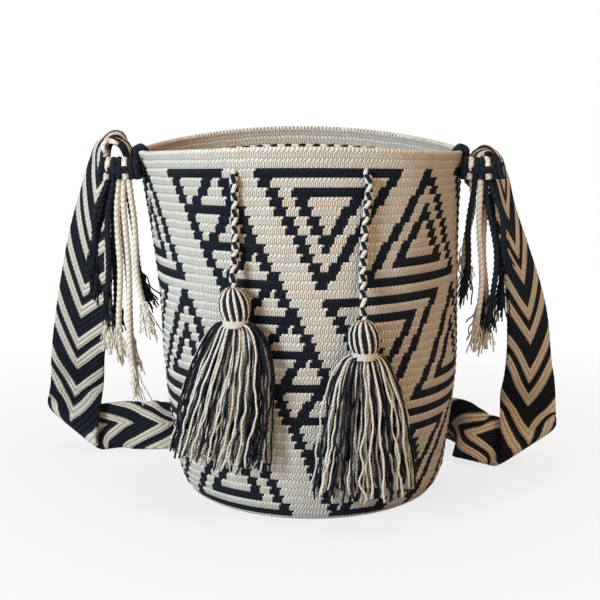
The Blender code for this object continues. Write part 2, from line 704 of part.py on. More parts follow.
def fringe(side, rows, yarns):
    start = knot_middle(side) - np.array([0, 0, KNOT_HALF_HEIGHT + SEAT_GAP])
    number = 0
    for i, row in enumerate(rows):
        for j, (length, sway, yarn) in enumerate(row):
            number += 1
            spot = start + np.array([(j - (len(row) - 1) / 2) * FRINGE_PITCH, (i - 0.5) * FRINGE_PITCH, 0])
            route = [spot + np.array([sway * t**1.6, 0, -t * length]) for t in (0.0, 0.1, 0.3, 0.6, 1.0)]
            tube(f"fringe_{side}_{number:02d}", along_route(route, FRINGE_STEP), FRINGE_DIAMETER, yarns[yarn])


def main():
    for obj in list(bpy.data.objects):
        bpy.data.objects.remove(obj)
    cream = cotton("cream_cotton", CREAM_YARN)
    black = cotton("black_cotton", BLACK_YARN)
    mixed = cotton("mixed_cotton", MIXED_YARN)
    bag_body(cream)
    drawstring(mixed)
    tassel("left", LEFT_TASSEL_ANGLE, LEFT_TASSEL_TOP, LEFT_SKIRT_LENGTH, LEFT_SKIRT_HALF_WIDTH,
           LEFT_SKIRT_LEAN, mixed, cream)
    tassel("right", RIGHT_TASSEL_ANGLE, RIGHT_TASSEL_TOP, RIGHT_SKIRT_LENGTH, RIGHT_SKIRT_HALF_WIDTH,
           RIGHT_SKIRT_LEAN, mixed, cream)
    strap(mixed)
    for side, rows in (("left", LEFT_FRINGE), ("right", RIGHT_FRINGE)):
        lashing(side, black)
        fringe_knot(side, black)
        fringe(side, rows, {"cream": cream, "black": black})


main()
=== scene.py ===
import json
import math

import bpy
import numpy as np
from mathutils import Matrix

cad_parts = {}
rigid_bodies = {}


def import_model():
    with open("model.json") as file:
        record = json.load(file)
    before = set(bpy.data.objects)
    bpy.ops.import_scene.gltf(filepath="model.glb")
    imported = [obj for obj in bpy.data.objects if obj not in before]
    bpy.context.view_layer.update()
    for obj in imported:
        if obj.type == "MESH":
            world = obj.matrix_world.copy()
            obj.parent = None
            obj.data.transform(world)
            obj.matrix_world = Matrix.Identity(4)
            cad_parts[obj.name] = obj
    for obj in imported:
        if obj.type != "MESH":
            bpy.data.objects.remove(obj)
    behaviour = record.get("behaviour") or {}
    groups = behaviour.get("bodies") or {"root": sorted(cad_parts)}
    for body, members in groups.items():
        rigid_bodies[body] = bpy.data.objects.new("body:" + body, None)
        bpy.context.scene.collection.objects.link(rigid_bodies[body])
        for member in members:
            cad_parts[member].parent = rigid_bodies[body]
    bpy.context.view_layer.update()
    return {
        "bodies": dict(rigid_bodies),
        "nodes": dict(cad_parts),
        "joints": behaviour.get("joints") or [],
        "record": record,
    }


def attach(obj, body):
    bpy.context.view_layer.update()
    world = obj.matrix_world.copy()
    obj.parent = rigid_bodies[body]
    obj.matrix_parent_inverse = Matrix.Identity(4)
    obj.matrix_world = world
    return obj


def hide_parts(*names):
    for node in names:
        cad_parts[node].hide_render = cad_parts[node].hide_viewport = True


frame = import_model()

# Camera
# It stands a little above the bag and straight in front of it, at the photograph's angle and distance.


def placed(name, data):
    """A new object in the scene."""
    made = bpy.data.objects.new(name, data)
    bpy.context.scene.collection.objects.link(made)
    return made


lens = bpy.data.cameras.new("camera")
lens.sensor_width = 36.0
lens.lens = 86.82
lens.clip_end = 400.0
camera = placed("camera", lens)
camera.location = (-0.0094, -1.208, 0.397)
camera.rotation_euler = (math.radians(90.0 - 11.2), 0.0, 0.0)
bpy.context.scene.camera = camera

# Bag body
# One piece of cotton crocheted in the round from the middle of the foot to the rim, in a dense stitch that
# carries both yarns along. Each round shows a ridge of slanted loops over a row of upright strands.

BAG_HEIGHT = 0.290
WALL_THICKNESS = 0.0036
FLOOR_THICKNESS = 0.0040
WALL_ROUNDS = 44
ROUND_RIDGE = 0.0012
ROUND_STRETCH = 0.003
FOOT_ROUNDING = 0.0100
FOOT_ROUNDING_HEIGHT = 0.0220
WALL_SHARES = (0.00, 0.12, 0.34, 0.57, 1.00)
WALL_HALF_WIDTHS = (0.1095, 0.1150, 0.1235, 0.1252, 0.1365)
WALL_HALF_DEPTHS = (0.1140, 0.1150, 0.1165, 0.1160, 0.1050)
MOUTH_SHIFT_X = -0.0090
MOUTH_SHIFT_X_START = 0.34
MOUTH_SHIFT_X_SPAN = 0.66
MOUTH_SHIFT_Y = 0.0120
MOUTH_SHIFT_Y_START = 0.48
MOUTH_SHIFT_Y_SPAN = 0.42
RIM_WAVE = 0.0055
RIM_WAVE_HEIGHT = 0.090

STITCHES = 252
REPEAT = 84
FIRST_STITCH = -7.4
STITCH_DRIFT = 0.16
STITCH_UNIT = 1.5
FIRST_BLACK_ROUND = 2
BLACK_ROUNDS = 41
BLACK_LINE = 2
BAND_ROUNDS = 14
BAND_CLIMB = 12
BAND_START = 39
BAND_WIDTH = 12
SMALL_ROUNDS = 4
SMALL_START = 9
NESTED_ROUNDS = 12
NESTED_LEAN = 11
DOWN_WIDTH = 24
UP_START = 29
UP_REACH = 20
STITCH_PLUMP = 0.0002
WALL_RIPPLE = 0.0007
RIM_DROP = 0.0014
RIM_RISE = 0.0024
RIM_HALF_WIDTH = 0.0026
WALL_FOOT = 0.0004
FOOT_LIFT = 0.0003
FOOT_INSET = 0.001
FOOT_RIDGE = 0.0003
FOOT_ROUNDS = 32


def smooth_curve(knots, values, at):
    """Cubic curve through the knots, with slopes from the neighbouring knots."""
    knots = np.asarray(knots, float)
    values = np.asarray(values, float)
    slopes = np.gradient(values, knots, axis=0)
    at = np.clip(np.asarray(at, float), knots[0], knots[-1])
    i = np.clip(np.searchsorted(knots, at) - 1, 0, len(knots) - 2)
    step = knots[i + 1] - knots[i]
    t = (at - knots[i]) / step
    if values.ndim > 1:
        t = t[:, None]
        step = step[:, None]
    start = (2 * t**3 - 3 * t**2 + 1) * values[i] + (t**3 - 2 * t**2 + t) * step * slopes[i]
    return start + (3 * t**2 - 2 * t**3) * values[i + 1] + (t**3 - t**2) * step * slopes[i + 1]


def wall_axes(height):
    """Half width and half depth of the bag at a height, drawn in at the rounded edge of the foot."""
    share = np.asarray(height, float) / BAG_HEIGHT
    rise = np.clip(np.asarray(height, float) / FOOT_ROUNDING_HEIGHT, 0, 1)
    inset = FOOT_ROUNDING * (1 - np.sqrt(1 - (1 - rise) ** 2))
    shape = np.shape(share)
    half_width = smooth_curve(WALL_SHARES, WALL_HALF_WIDTHS, np.ravel(share)).reshape(shape)
    half_depth = smooth_curve(WALL_SHARES, WALL_HALF_DEPTHS, np.ravel(share)).reshape(shape)
    return half_width - inset, half_depth - inset


def wall_point(degrees, height, off=0.0):
    """A point off the wall: an ellipse at each height, whose centre drifts a little towards the rim.
    0 degrees is the front and 90 is the right side, and the rim dips at both sides."""
    angle = np.radians(np.asarray(degrees, float))
    height = np.asarray(height, float)
    half_width, half_depth = wall_axes(height)
    share = np.clip(height / BAG_HEIGHT, 0, 1)
    rise = np.clip((share - MOUTH_SHIFT_Y_START) / MOUTH_SHIFT_Y_SPAN, 0, 1)
    centre_x = MOUTH_SHIFT_X * np.clip((share - MOUTH_SHIFT_X_START) / MOUTH_SHIFT_X_SPAN, 0, 1) ** 1.2
    centre_y = MOUTH_SHIFT_Y * rise**2 * (3 - 2 * rise)
    lift = RIM_WAVE * np.clip(1 + (height - BAG_HEIGHT) / RIM_WAVE_HEIGHT, 0, 1) ** 2
    x = centre_x + (half_width + off) * np.sin(angle)
    y = centre_y - (half_depth + off) * np.cos(angle)
    return np.stack(np.broadcast_arrays(x, y, height + lift * np.cos(2 * angle)), axis=-1)


def round_height(rounds):
    """Height of a round counted down from the rim, by equal steps along the wall's profile."""
    heights = np.linspace(BAG_HEIGHT, 0, 1200)
    depth = wall_axes(heights)[1]
    run = np.concatenate([[0], np.cumsum(np.hypot(np.diff(depth), np.diff(heights)))])
    share = np.asarray(rounds, float) / WALL_ROUNDS
    return np.interp(share * run[-1] + ROUND_STRETCH * np.sin(np.pi * share), run, heights)


def is_black(stitch, round_number):
    """The traditional pattern, as a rule on stitch and round: bands of small triangles that climb to the
    left, between nested triangles that stand upright and upside down in turn, three repeats around."""
    k = round_number - FIRST_BLACK_ROUND
    band, step = np.divmod(k, BAND_ROUNDS)
    u = (stitch + 0.5) / STITCH_UNIT
    repeat = REPEAT / STITCH_UNIT
    w = np.mod(u - BAND_START - BAND_CLIMB * k / BAND_ROUNDS, repeat)
    j = np.mod(k, SMALL_ROUNDS)
    inner = SMALL_START - BLACK_LINE * j
    edges = (w < BLACK_LINE) | ((w >= BAND_WIDTH - BLACK_LINE) & (w < BAND_WIDTH))
    small = np.where(j == 0, w < BAND_WIDTH, edges | ((w >= inner) & (w < inner + BLACK_LINE)))
    lean = NESTED_LEAN * step / NESTED_ROUNDS
    v = np.mod(u - BAND_CLIMB * band, repeat)
    ring = np.minimum((v - lean) // BLACK_LINE, (DOWN_WIDTH - lean - v) // BLACK_LINE)
    ring = np.minimum(ring, step)
    down = (v >= lean) & (v < DOWN_WIDTH - lean) & ((ring == 0) | (ring == 2))
    v = np.mod(u - BAND_CLIMB * band - UP_START + UP_REACH, repeat) - UP_REACH
    ring = np.minimum((v + lean) // BLACK_LINE, (BLACK_LINE + lean - v) // BLACK_LINE)
    ring = np.minimum(ring, NESTED_ROUNDS - step)
    up = (v >= -lean) & (v < BLACK_LINE + lean) & ((ring == 0) | (ring == 2))
    nested = (down | up) & (step <= NESTED_ROUNDS)
    return (small | nested) & (k >= 0) & (k < BLACK_ROUNDS)


def yarn_mesh(name, points, faces, weave, yarn=None):
    """A smooth mesh with the two thread coordinates of each face's corners, and three values of its yarn:
    the share of black, the tone and a spare one."""
    mesh = bpy.data.meshes.new(name)
    mesh.from_pydata(points.reshape(-1, 3), [], faces.reshape(-1, 4))
    mesh.uv_layers.new(name="weave").data.foreach_set("uv", weave.astype(np.float32).ravel())
    if yarn is not None:
        values = np.ones((len(mesh.polygons), 4, 4), np.float32)
        values[..., :3] = yarn.reshape(-1, 1, 3)
        mesh.attributes.new("yarn", "FLOAT_COLOR", "CORNER").data.foreach_set("color", values.ravel())
    mesh.shade_smooth()
    return placed(name, mesh)


def surface(name, points, weave, yarn=None):
    """A mesh over a grid of points, rows by columns, with its last column joined to its first. weave has
    one column more than the points."""
    rows, columns = points.shape[:2]
    i, j = np.meshgrid(np.arange(rows - 1), np.arange(columns), indexing="ij")
    k = (j + 1) % columns
    below = (i + 1) * columns
    faces = np.stack([i * columns + j, below + j, below + k, i * columns + k], axis=-1)
    corners = np.stack([weave[i, j], weave[i + 1, j], weave[i + 1, j + 1], weave[i, j + 1]], axis=2)
    return yarn_mesh(name, points, faces, corners, yarn)


def dress(piece, material, stands_for):
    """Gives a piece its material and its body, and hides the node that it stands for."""
    piece.data.materials.append(material)
    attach(piece, "root")
    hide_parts(stands_for)


def node(tree, kind, settings=None, **sockets):
    """Adds a shader node. A socket is named, or numbered as n0, n1, and takes a value or an output."""
    made = tree.nodes.new("ShaderNode" + kind)
    for name, value in (settings or {}).items():
        setattr(made, name, value)
    for name, value in sockets.items():
        socket = made.inputs[int(name[1:])] if name[1:].isdigit() else made.inputs[name.replace("_", " ")]
        if isinstance(value, bpy.types.NodeSocket):
            tree.links.new(value, socket)
        else:
            socket.default_value = value
    return made


def maths(tree, operation, *values):
    """The result of one step of arithmetic on values or outputs."""
    sockets = {f"n{i}": value for i, value in enumerate(values)}
    return node(tree, "Math", {"operation": operation}, **sockets).outputs[0]


def mixed(tree, share, start, end, blend="MIX"):
    """A colour between two colours, by a share."""
    settings = {"data_type": "RGBA", "blend_type": blend}
    return node(tree, "Mix", settings, n0=share, n6=start, n7=end).outputs[2]


def band_of(tree, value, low, high, to_low=0.0, to_high=1.0):
    """A value carried from one range to another, and held at its ends."""
    return node(tree, "MapRange", n0=value, n1=low, n2=high, n3=to_low, n4=to_high).outputs[0]


def bump_of(tree, value):
    """A rounded ridge for each whole step of a value: 1 in the middle of the step and 0 at its ends."""
    centred = maths(tree, "SUBTRACT", maths(tree, "MULTIPLY", maths(tree, "FRACT", value), 2.0), 1.0)
    return maths(tree, "SUBTRACT", 1.0, maths(tree, "POWER", maths(tree, "ABSOLUTE", centred), 2.2))


def effect(name, inputs, outputs):
    """An empty node group with named sockets, and its input and output nodes."""
    tree = bpy.data.node_groups.new(name, "ShaderNodeTree")
    for label, kind in inputs:
        tree.interface.new_socket(label, in_out="INPUT", socket_type="NodeSocket" + kind)
    for label, kind in outputs:
        tree.interface.new_socket(label, in_out="OUTPUT", socket_type="NodeSocket" + kind)
    return tree, tree.nodes.new("NodeGroupInput"), tree.nodes.new("NodeGroupOutput")


# Cotton fibre: fine fuzz and small changes of tone, which every yarn has
fibre, given, out = effect("cotton_fibre", [("Place", "Vector"), ("Scale", "Float")],
                           [("Fuzz", "Float"), ("Tone", "Float")])
fuzz = node(fibre, "TexNoise", Vector=given.outputs[0], Scale=given.outputs[1], Detail=3.0, Roughness=0.7)
coarse = maths(fibre, "MULTIPLY", given.outputs[1], 0.09)
patch = node(fibre, "TexNoise", Vector=given.outputs[0], Scale=coarse)
fibre.links.new(fuzz.outputs[0], out.inputs[0])
fibre.links.new(patch.outputs[0], out.inputs[1])

# Colours of the two yarns. Each yarn has a lit colour, painted on the tops of its threads, and a darker
# colour, painted shade in the hollows between them. The warm colour multiplies the cream by its tone: a
# random tint on most yarns, and painted shade on the fringe cords, whose tone is 1.
CREAM_TONE_AND_SHADE = (0.93, 0.86, 0.76, 1.0)
CREAM_LIT = (0.81, 0.745, 0.65, 1.0)
CREAM_PAINTED_SHADE = (0.44, 0.29, 0.165, 1.0)
BLACK_LIT = (0.0160, 0.0180, 0.0240, 1.0)
BLACK_PAINTED_SHADE = (0.0010, 0.0010, 0.0020, 1.0)


def two_yarns(tree, black, depth, tone):
    """Colour of cream or black cotton: black is the share of black; depth is 0 between threads, where the
    colour is painted shade, and 1 on them, where it is the painted lit colour;
    and tone warms the cream: a random tint on most yarns, and painted shade on the fringe cords."""
    # Painted shade between threads and a painted lit colour on them, then the warm tone.
    cream = mixed(tree, depth, CREAM_PAINTED_SHADE, CREAM_LIT)
    warm = mixed(tree, tone, cream, CREAM_TONE_AND_SHADE, "MULTIPLY")
    return mixed(tree, black, warm, mixed(tree, depth, BLACK_PAINTED_SHADE, BLACK_LIT))


def thread_places(tree):
    """The two thread coordinates of a surface."""
    place = node(tree, "UVMap", {"uv_map": "weave"}).outputs[0]
    return node(tree, "SeparateXYZ", Vector=place).outputs[:2]


def own_yarn(tree):
    """The share of black and the tone of a surface's yarn."""
    values = node(tree, "Attribute", {"attribute_name": "yarn"}).outputs[0]
    return node(tree, "SeparateColor", Color=values).outputs[:2]


def fuzz_and_tone(tree, scale):
    """The cotton fibre's two effects at a scale."""
    place = node(tree, "TexCoord").outputs["Object"]
    group = node(tree, "Group", {"node_tree": bpy.data.node_groups["cotton_fibre"]}, Place=place, Scale=scale)
    return group.outputs[:2]


def cotton(name, colour_and_height, strength, distance):
    """A matte cotton material. colour_and_height builds its colour and height sockets in the tree."""
    material = bpy.data.materials.new(name)
    material.use_nodes = True
    tree = material.node_tree
    shader = tree.nodes["Principled BSDF"]
    shader.inputs["Roughness"].default_value = 0.88
    shader.inputs["Specular IOR Level"].default_value = 0.06
    shader.inputs["Sheen Weight"].default_value = 0.015
    shader.inputs["Sheen Roughness"].default_value = 0.6
    colour, height = colour_and_height(tree)
    bump = node(tree, "Bump", Strength=strength, Distance=distance, Height=height)
    tree.links.new(colour, shader.inputs["Base Color"])
    tree.links.new(bump.outputs[0], shader.inputs["Normal"])
    return material


def crochet_finish(tree):
    """Across a round: slanted loops in its upper half, and two upright strands a stitch below them."""
    stitches, rounds_down = thread_places(tree)
    black, own_tone = own_yarn(tree)
    fuzz, tone = fuzz_and_tone(tree, 900.0)
    along = maths(tree, "ADD", stitches, maths(tree, "MULTIPLY", tone, 0.8))
    arch = maths(tree, "MULTIPLY_ADD", bump_of(tree, maths(tree, "ADD", along, 0.25)), 0.16, rounds_down)
    down = maths(tree, "FRACT", maths(tree, "MULTIPLY_ADD", tone, 0.3, maths(tree, "SUBTRACT", arch, 0.22)))
    slanted = maths(tree, "MULTIPLY_ADD", down, 1.3, along)
    loops = maths(tree, "MULTIPLY_ADD", bump_of(tree, slanted), 0.85, 0.25)
    loop_zone = maths(tree, "MULTIPLY", band_of(tree, down, -0.06, 0.14), band_of(tree, down, 0.52, 0.40))
    upright = maths(tree, "MULTIPLY_ADD", bump_of(tree, maths(tree, "MULTIPLY", along, 2.0)), 0.60, 0.10)
    upright_zone = maths(tree, "MULTIPLY", band_of(tree, down, 0.42, 0.54), band_of(tree, down, 1.04, 0.90))
    relief = maths(tree, "ADD", maths(tree, "MULTIPLY", loops, loop_zone),
                   maths(tree, "MULTIPLY", upright, upright_zone))
    # Painted shade: the colour darkens in the hollows between loops and strands, and takes the lit colour on
    # their tops.
    depth = band_of(tree, maths(tree, "MULTIPLY_ADD", fuzz, 0.30, relief), 0.16, 0.95)
    colour = two_yarns(tree, black, depth, maths(tree, "MULTIPLY", own_tone, 0.6))
    return colour, maths(tree, "MULTIPLY_ADD", fuzz, 0.35, relief)


crochet_cotton = cotton("crochet_cotton", crochet_finish, 1.0, 0.0014)


def crochet_wall(name, rounds, heights, offs, steps, inside=False):
    """The wall as a grid: a column for each half stitch, leaning as the stitches do, and a row for each
    entry of rounds, with its height and its distance off the wall. steps is each face row's round."""
    columns = np.arange(2 * STITCHES + 1) / 2.0
    lean = STITCH_DRIFT * (rounds - FIRST_BLACK_ROUND)
    around = columns[None, :] / STITCH_UNIT + FIRST_STITCH - lean[:, None]
    degrees = around * 360.0 * STITCH_UNIT / STITCHES
    plump = STITCH_PLUMP * np.cos(2 * np.pi * (columns[None, :] - 0.5))
    ripple = WALL_RIPPLE * np.sin(np.radians(degrees * 5 + 40)) * np.sin(heights[:, None] * 40 + 1)
    off = offs[:, None] + np.where(inside, 0.0, plump) + ripple * (heights[:, None] > 0.02)
    points = wall_point(degrees, np.broadcast_to(heights[:, None], degrees.shape), off)
    weave = np.stack(np.broadcast_arrays(columns[None, :], rounds[:, None]), axis=-1)
    number, part = np.floor(steps), np.mod(steps, 1.0)
    shift = np.where(part < 0.25, 0.5, 0.0)
    middle = (columns[:-1] + columns[1:]) / 2
    stitch = np.floor(middle[None, :] - shift[:, None])
    black = is_black(np.mod(stitch, STITCHES), number[:, None])
    tone = np.mod(np.sin(stitch * 12.9898 + number[:, None] * 78.233) * 43758.5453, 1.0)
    yarn = np.stack([black, tone, np.zeros_like(tone)], axis=-1).astype(np.float32)
    return surface(name, points[:, :-1], weave, yarn)


parts_of_round = np.array([0.0, 0.25, 0.5, 0.75])
relief_of_round = np.array([-0.0002, 0.0008, 0.0003, 0.0002])
crest = np.radians([-90.0, -45.0, 0.0, 40.0, 75.0])
below_rim = (np.arange(WALL_ROUNDS)[:, None] + parts_of_round).ravel()[1:]
rounds = np.concatenate([np.linspace(0, 0.2, len(crest)), below_rim, [WALL_ROUNDS]])
heights = np.concatenate([BAG_HEIGHT - RIM_DROP + RIM_RISE * np.cos(crest), round_height(below_rim),
                          [WALL_FOOT]])
offs = np.concatenate([-WALL_THICKNESS / 2 + RIM_HALF_WIDTH * np.sin(crest),
                       np.tile(relief_of_round, WALL_ROUNDS)[1:], [-FOOT_INSET]])
bag_outside = crochet_wall("bag_outside", rounds, heights, offs, rounds[:-1])

rounds = np.arange(0, 2 * WALL_ROUNDS) / 2.0
heights = np.maximum(round_height(rounds), FLOOR_THICKNESS)
heights[0] = BAG_HEIGHT - RIM_DROP
offs = -WALL_THICKNESS - np.tile([-0.0004, 0.0004], WALL_ROUNDS) - 0.0002
offs[0] = -WALL_THICKNESS / 2 - RIM_HALF_WIDTH
bag_inside = crochet_wall("bag_inside", rounds, heights, offs, rounds[:-1] + 0.3, True)
bag_inside.data.flip_normals()


def disc(name, height, off):
    """The foot as rounds of a flat spiral: an ellipse that shrinks to its middle in equal rounds."""
    share = np.concatenate([np.arange(FOOT_ROUNDS, 0, -1) / FOOT_ROUNDS, [0.002]])
    ring = wall_point(np.arange(STITCHES) * 360.0 / STITCHES, 0.0, off)
    points = ring[None, :, :] * share[:, None, None]
    row = np.arange(len(share))
    points[..., 2] = height + FOOT_RIDGE * (row % 2)[:, None]
    weave = np.stack(np.broadcast_arrays(np.arange(STITCHES + 1.0)[None, :], row[:, None] / 2.0), axis=-1)
    return surface(name, points, weave, np.zeros((len(share) - 1, STITCHES, 3), np.float32))


bag_floor = disc("bag_floor", FLOOR_THICKNESS, -WALL_THICKNESS)
bag_floor.data.flip_normals()
bag_foot = disc("bag_foot", FOOT_LIFT, -FOOT_INSET)
for piece in (bag_outside, bag_inside, bag_floor, bag_foot):
    dress(piece, crochet_cotton, "bag_body")

# Drawstring
# A round four-strand braid of black and cream cotton, threaded through six eyelets under the rim. It runs
# inside the bag round both sides, makes two stitches at the back, and its ends hang in front.

SEAT_GAP = 0.0003
BAND_SEAT_GAP = 0.0006
CORD_DIAMETER = 0.0060
EYELET_ROUND = 2.4
EYELET_LEFT_ANGLE = -22.5
EYELET_RIGHT_ANGLE = 21.8
EYELET_BACK_ANGLES = (118.0, 146.0, 214.0, 242.0)
EYELET_TURN = 2.6
EYELET_LIP_TURN = 0.8
EYELET_LIP = 0.0012
TAIL_BOW = 0.0022
TAIL_LIFT = 0.0008
BRAID_STEP = 0.0016
BRAID_LEAD = 0.0260
BRAID_RADIUS = 0.0019
BRAID_BREATH = 0.0005
BRAID_STRAND_RADIUS = 0.0017
LEFT_TASSEL_ANGLE = -24.2
RIGHT_TASSEL_ANGLE = 17.6
LEFT_TASSEL_TOP = 0.190
RIGHT_TASSEL_TOP = 0.166
TASSEL_HEAD_RADIUS = 0.0115
TASSEL_LOBE_DEPTH = 0.06
OUTSIDE_CORD = ROUND_RIDGE / 2 + SEAT_GAP + CORD_DIAMETER / 2
INSIDE_CORD = -(WALL_THICKNESS + SEAT_GAP + CORD_DIAMETER / 2 + 0.0009)
TASSEL_OFFSET = ROUND_RIDGE / 2 + SEAT_GAP + TASSEL_HEAD_RADIUS * (1 + TASSEL_LOBE_DEPTH)


def drawstring_tail(low_angle, degrees, top, inward):
    """Route from a tassel up to its eyelet, lying on the wall, and through to the inside."""
    eyelet = float(round_height(EYELET_ROUND))
    drop = eyelet - top
    end = wall_point(low_angle, top, TASSEL_OFFSET)
    slant = degrees - low_angle
    return [
        end + np.array([0, 0, SEAT_GAP]),
        end + np.array([0, 0, SEAT_GAP + CORD_DIAMETER]),
        wall_point(low_angle + 0.35 * slant, top + 0.35 * drop, OUTSIDE_CORD + TAIL_BOW),
        wall_point(low_angle + 0.62 * slant, top + 0.62 * drop, OUTSIDE_CORD + TAIL_LIFT),
        wall_point(degrees, eyelet - 2.2 * CORD_DIAMETER, OUTSIDE_CORD + TAIL_LIFT),
        wall_point(degrees, eyelet - CORD_DIAMETER, OUTSIDE_CORD + 0.0012),
        wall_point(degrees, eyelet - EYELET_LIP, EYELET_LIP),
        wall_point(degrees + inward * EYELET_LIP_TURN, eyelet, -WALL_THICKNESS - EYELET_LIP),
    ]


def drawstring_route():
    """Right tail, round the inside of the right side, two stitches at the back, and out to the left tail."""
    height = float(round_height(EYELET_ROUND))
    offsets = (INSIDE_CORD, OUTSIDE_CORD)
    lips = (-WALL_THICKNESS - EYELET_LIP, EYELET_LIP)
    stops = (EYELET_RIGHT_ANGLE, *EYELET_BACK_ANGLES, 360 + EYELET_LEFT_ANGLE)
    route = drawstring_tail(RIGHT_TASSEL_ANGLE, EYELET_RIGHT_ANGLE, RIGHT_TASSEL_TOP, 1)
    for i in range(len(stops) - 1):
        start, end = stops[i] + EYELET_TURN, stops[i + 1] - EYELET_TURN
        for degrees in np.linspace(start, end, max(2, round((end - start) / 15) + 1)):
            route.append(wall_point(degrees, height, offsets[i % 2]))
        if i < len(stops) - 2:
            route.append(wall_point(stops[i + 1] - EYELET_LIP_TURN, height, lips[i % 2]))
            route.append(wall_point(stops[i + 1] + EYELET_LIP_TURN, height, lips[(i + 1) % 2]))
    last = drawstring_tail(LEFT_TASSEL_ANGLE, EYELET_LEFT_ANGLE, LEFT_TASSEL_TOP, -1)
    return np.array(route + last[::-1])


def even_path(route, spacing):
    """Points at an even spacing along a smooth curve through a route, and their distance along it."""
    route = np.asarray(route, float)
    chord = np.concatenate([[0], np.cumsum(np.linalg.norm(np.diff(route[:, :3], axis=0), axis=1))])
    fine = smooth_curve(chord, route, np.linspace(0, chord[-1], 4000))
    run = np.concatenate([[0], np.cumsum(np.linalg.norm(np.diff(fine[:, :3], axis=0), axis=1))])
    at = np.linspace(0, run[-1], max(3, round(run[-1] / spacing) + 1))
    return np.stack([np.interp(at, run, fine[:, i]) for i in range(fine.shape[1])], axis=1), at


def unit(vectors):
    """Rows of vectors scaled to a length of one."""
    return vectors / np.linalg.norm(vectors, axis=-1)[..., None]


def frames_along(paths):
    """Unit directions along many paths and two across them, turned as little as possible point to point."""
    ahead = unit(np.gradient(paths, axis=1))
    spare = np.eye(3)[np.argmin(np.abs(ahead[:, 0]), axis=1)]
    across = np.empty_like(ahead)
    across[:, 0] = unit(np.cross(ahead[:, 0], spare))
    for i in range(1, paths.shape[1]):
        turned = across[:, i - 1] - (across[:, i - 1] * ahead[:, i]).sum(axis=1)[:, None] * ahead[:, i]
        across[:, i] = unit(turned)
    return ahead, across, np.cross(ahead, across)


def strands(name, paths, radius, black, tone, lead, sides=6, plies=2, lobe=0.0):
    """Tubes along many paths at once, each a ring of points carried along its path and closed at both
    ends. A plied tube has lobes that wind round it, one turn in each lead. radius is a number for each
    point, and black and tone a number for each tube."""
    count, length = paths.shape[:2]
    across, other = frames_along(paths)[1:]
    steps = np.linalg.norm(np.diff(paths, axis=1), axis=2)
    run = np.concatenate([np.zeros((count, 1)), np.cumsum(steps, axis=1)], axis=1)
    turn = 2 * np.pi * np.arange(sides) / sides
    radius = np.broadcast_to(radius, (count, length))[..., None]
    winding = plies * (turn[None, None, :] - 2 * np.pi * run[..., None] / lead)
    swell = radius * (1 + lobe * np.cos(winding))
    points = (paths[:, :, None, :] + (swell * np.cos(turn))[..., None] * across[:, :, None, :]
              + (swell * np.sin(turn))[..., None] * other[:, :, None, :])
    t, i, j = np.meshgrid(np.arange(count), np.arange(length - 1), np.arange(sides), indexing="ij")
    k = (j + 1) % sides
    at = (t * length + i) * sides
    wall = np.stack([at + j, at + k, at + sides + k, at + sides + j], axis=-1).reshape(-1, 4)
    rung = np.arange(sides // 2 - 1)
    cap = np.stack([rung, rung + 1, sides - 2 - rung, sides - 1 - rung], axis=-1)
    first = (np.arange(count) * length * sides)[:, None, None]
    ends = np.concatenate([(first + cap[:, ::-1]).reshape(-1, 4),
                           (first + (length - 1) * sides + cap).reshape(-1, 4)])
    u = np.stack([j, j + 1, j + 1, j], axis=-1) * plies / sides
    v = np.stack([run[t, i], run[t, i], run[t, i + 1], run[t, i + 1]], axis=-1) * plies / lead
    weave = np.concatenate([np.stack([u, v], axis=-1).reshape(-1, 2), np.full((len(ends) * 4, 2), 0.5)])
    owner = np.concatenate([t.ravel(), *[np.repeat(np.arange(count), len(cap))] * 2])
    black, tone = np.broadcast_to(black, count)[owner], np.broadcast_to(tone, count)[owner]
    yarn = np.stack([black, tone, np.ones(len(owner))], axis=-1)
    return yarn_mesh(name, points, np.concatenate([wall, ends]), weave, yarn)


def plied_finish(tree):
    """Plies that wind round the yarn: a ridge for each, and painted shade in the lines between them."""
    around, along = thread_places(tree)
    black, tone = own_yarn(tree)
    fuzz = fuzz_and_tone(tree, 1300.0)[0]
    ply = bump_of(tree, maths(tree, "ADD", maths(tree, "SUBTRACT", around, along), 300.0))
    relief = maths(tree, "MULTIPLY_ADD", fuzz, 0.35, ply)
    # Painted shade between the plies, and the lit colour on their ridges.
    depth = band_of(tree, relief, 0.15, 1.05, 0.25, 1.0)
    return two_yarns(tree, black, depth, tone), relief


plied_cotton = cotton("plied_cotton", plied_finish, 0.8, 0.0006)

cord_path, cord_run = even_path(drawstring_route(), BRAID_STEP)
_, across, other = (a[0] for a in frames_along(cord_path[None]))
turn = 2 * np.pi * cord_run / BRAID_LEAD
braid = []
for way, phase in ((1, 0.0), (1, np.pi), (-1, 0.5 * np.pi), (-1, 1.5 * np.pi)):
    angle = (way * turn + phase)[:, None]
    out = BRAID_RADIUS + way * BRAID_BREATH * np.cos(2 * turn)[:, None]
    braid.append(cord_path + out * (np.cos(angle) * across + np.sin(angle) * other))
drawstring = strands("drawstring_braid", np.array(braid), BRAID_STRAND_RADIUS, np.array([0.0, 0.0, 1.0, 1.0]),
                     np.array([0.2, 0.5, 0.3, 0.3]), sides=8, plies=3, lead=0.012, lobe=0.10)
dress(drawstring, plied_cotton, "drawstring")

# Tassels
# Each is a bundle of cut cotton yarn, black and cream, folded over the cord's end and bound below the fold
# with fine cream thread. The yarn spreads into a skirt with uneven ends.

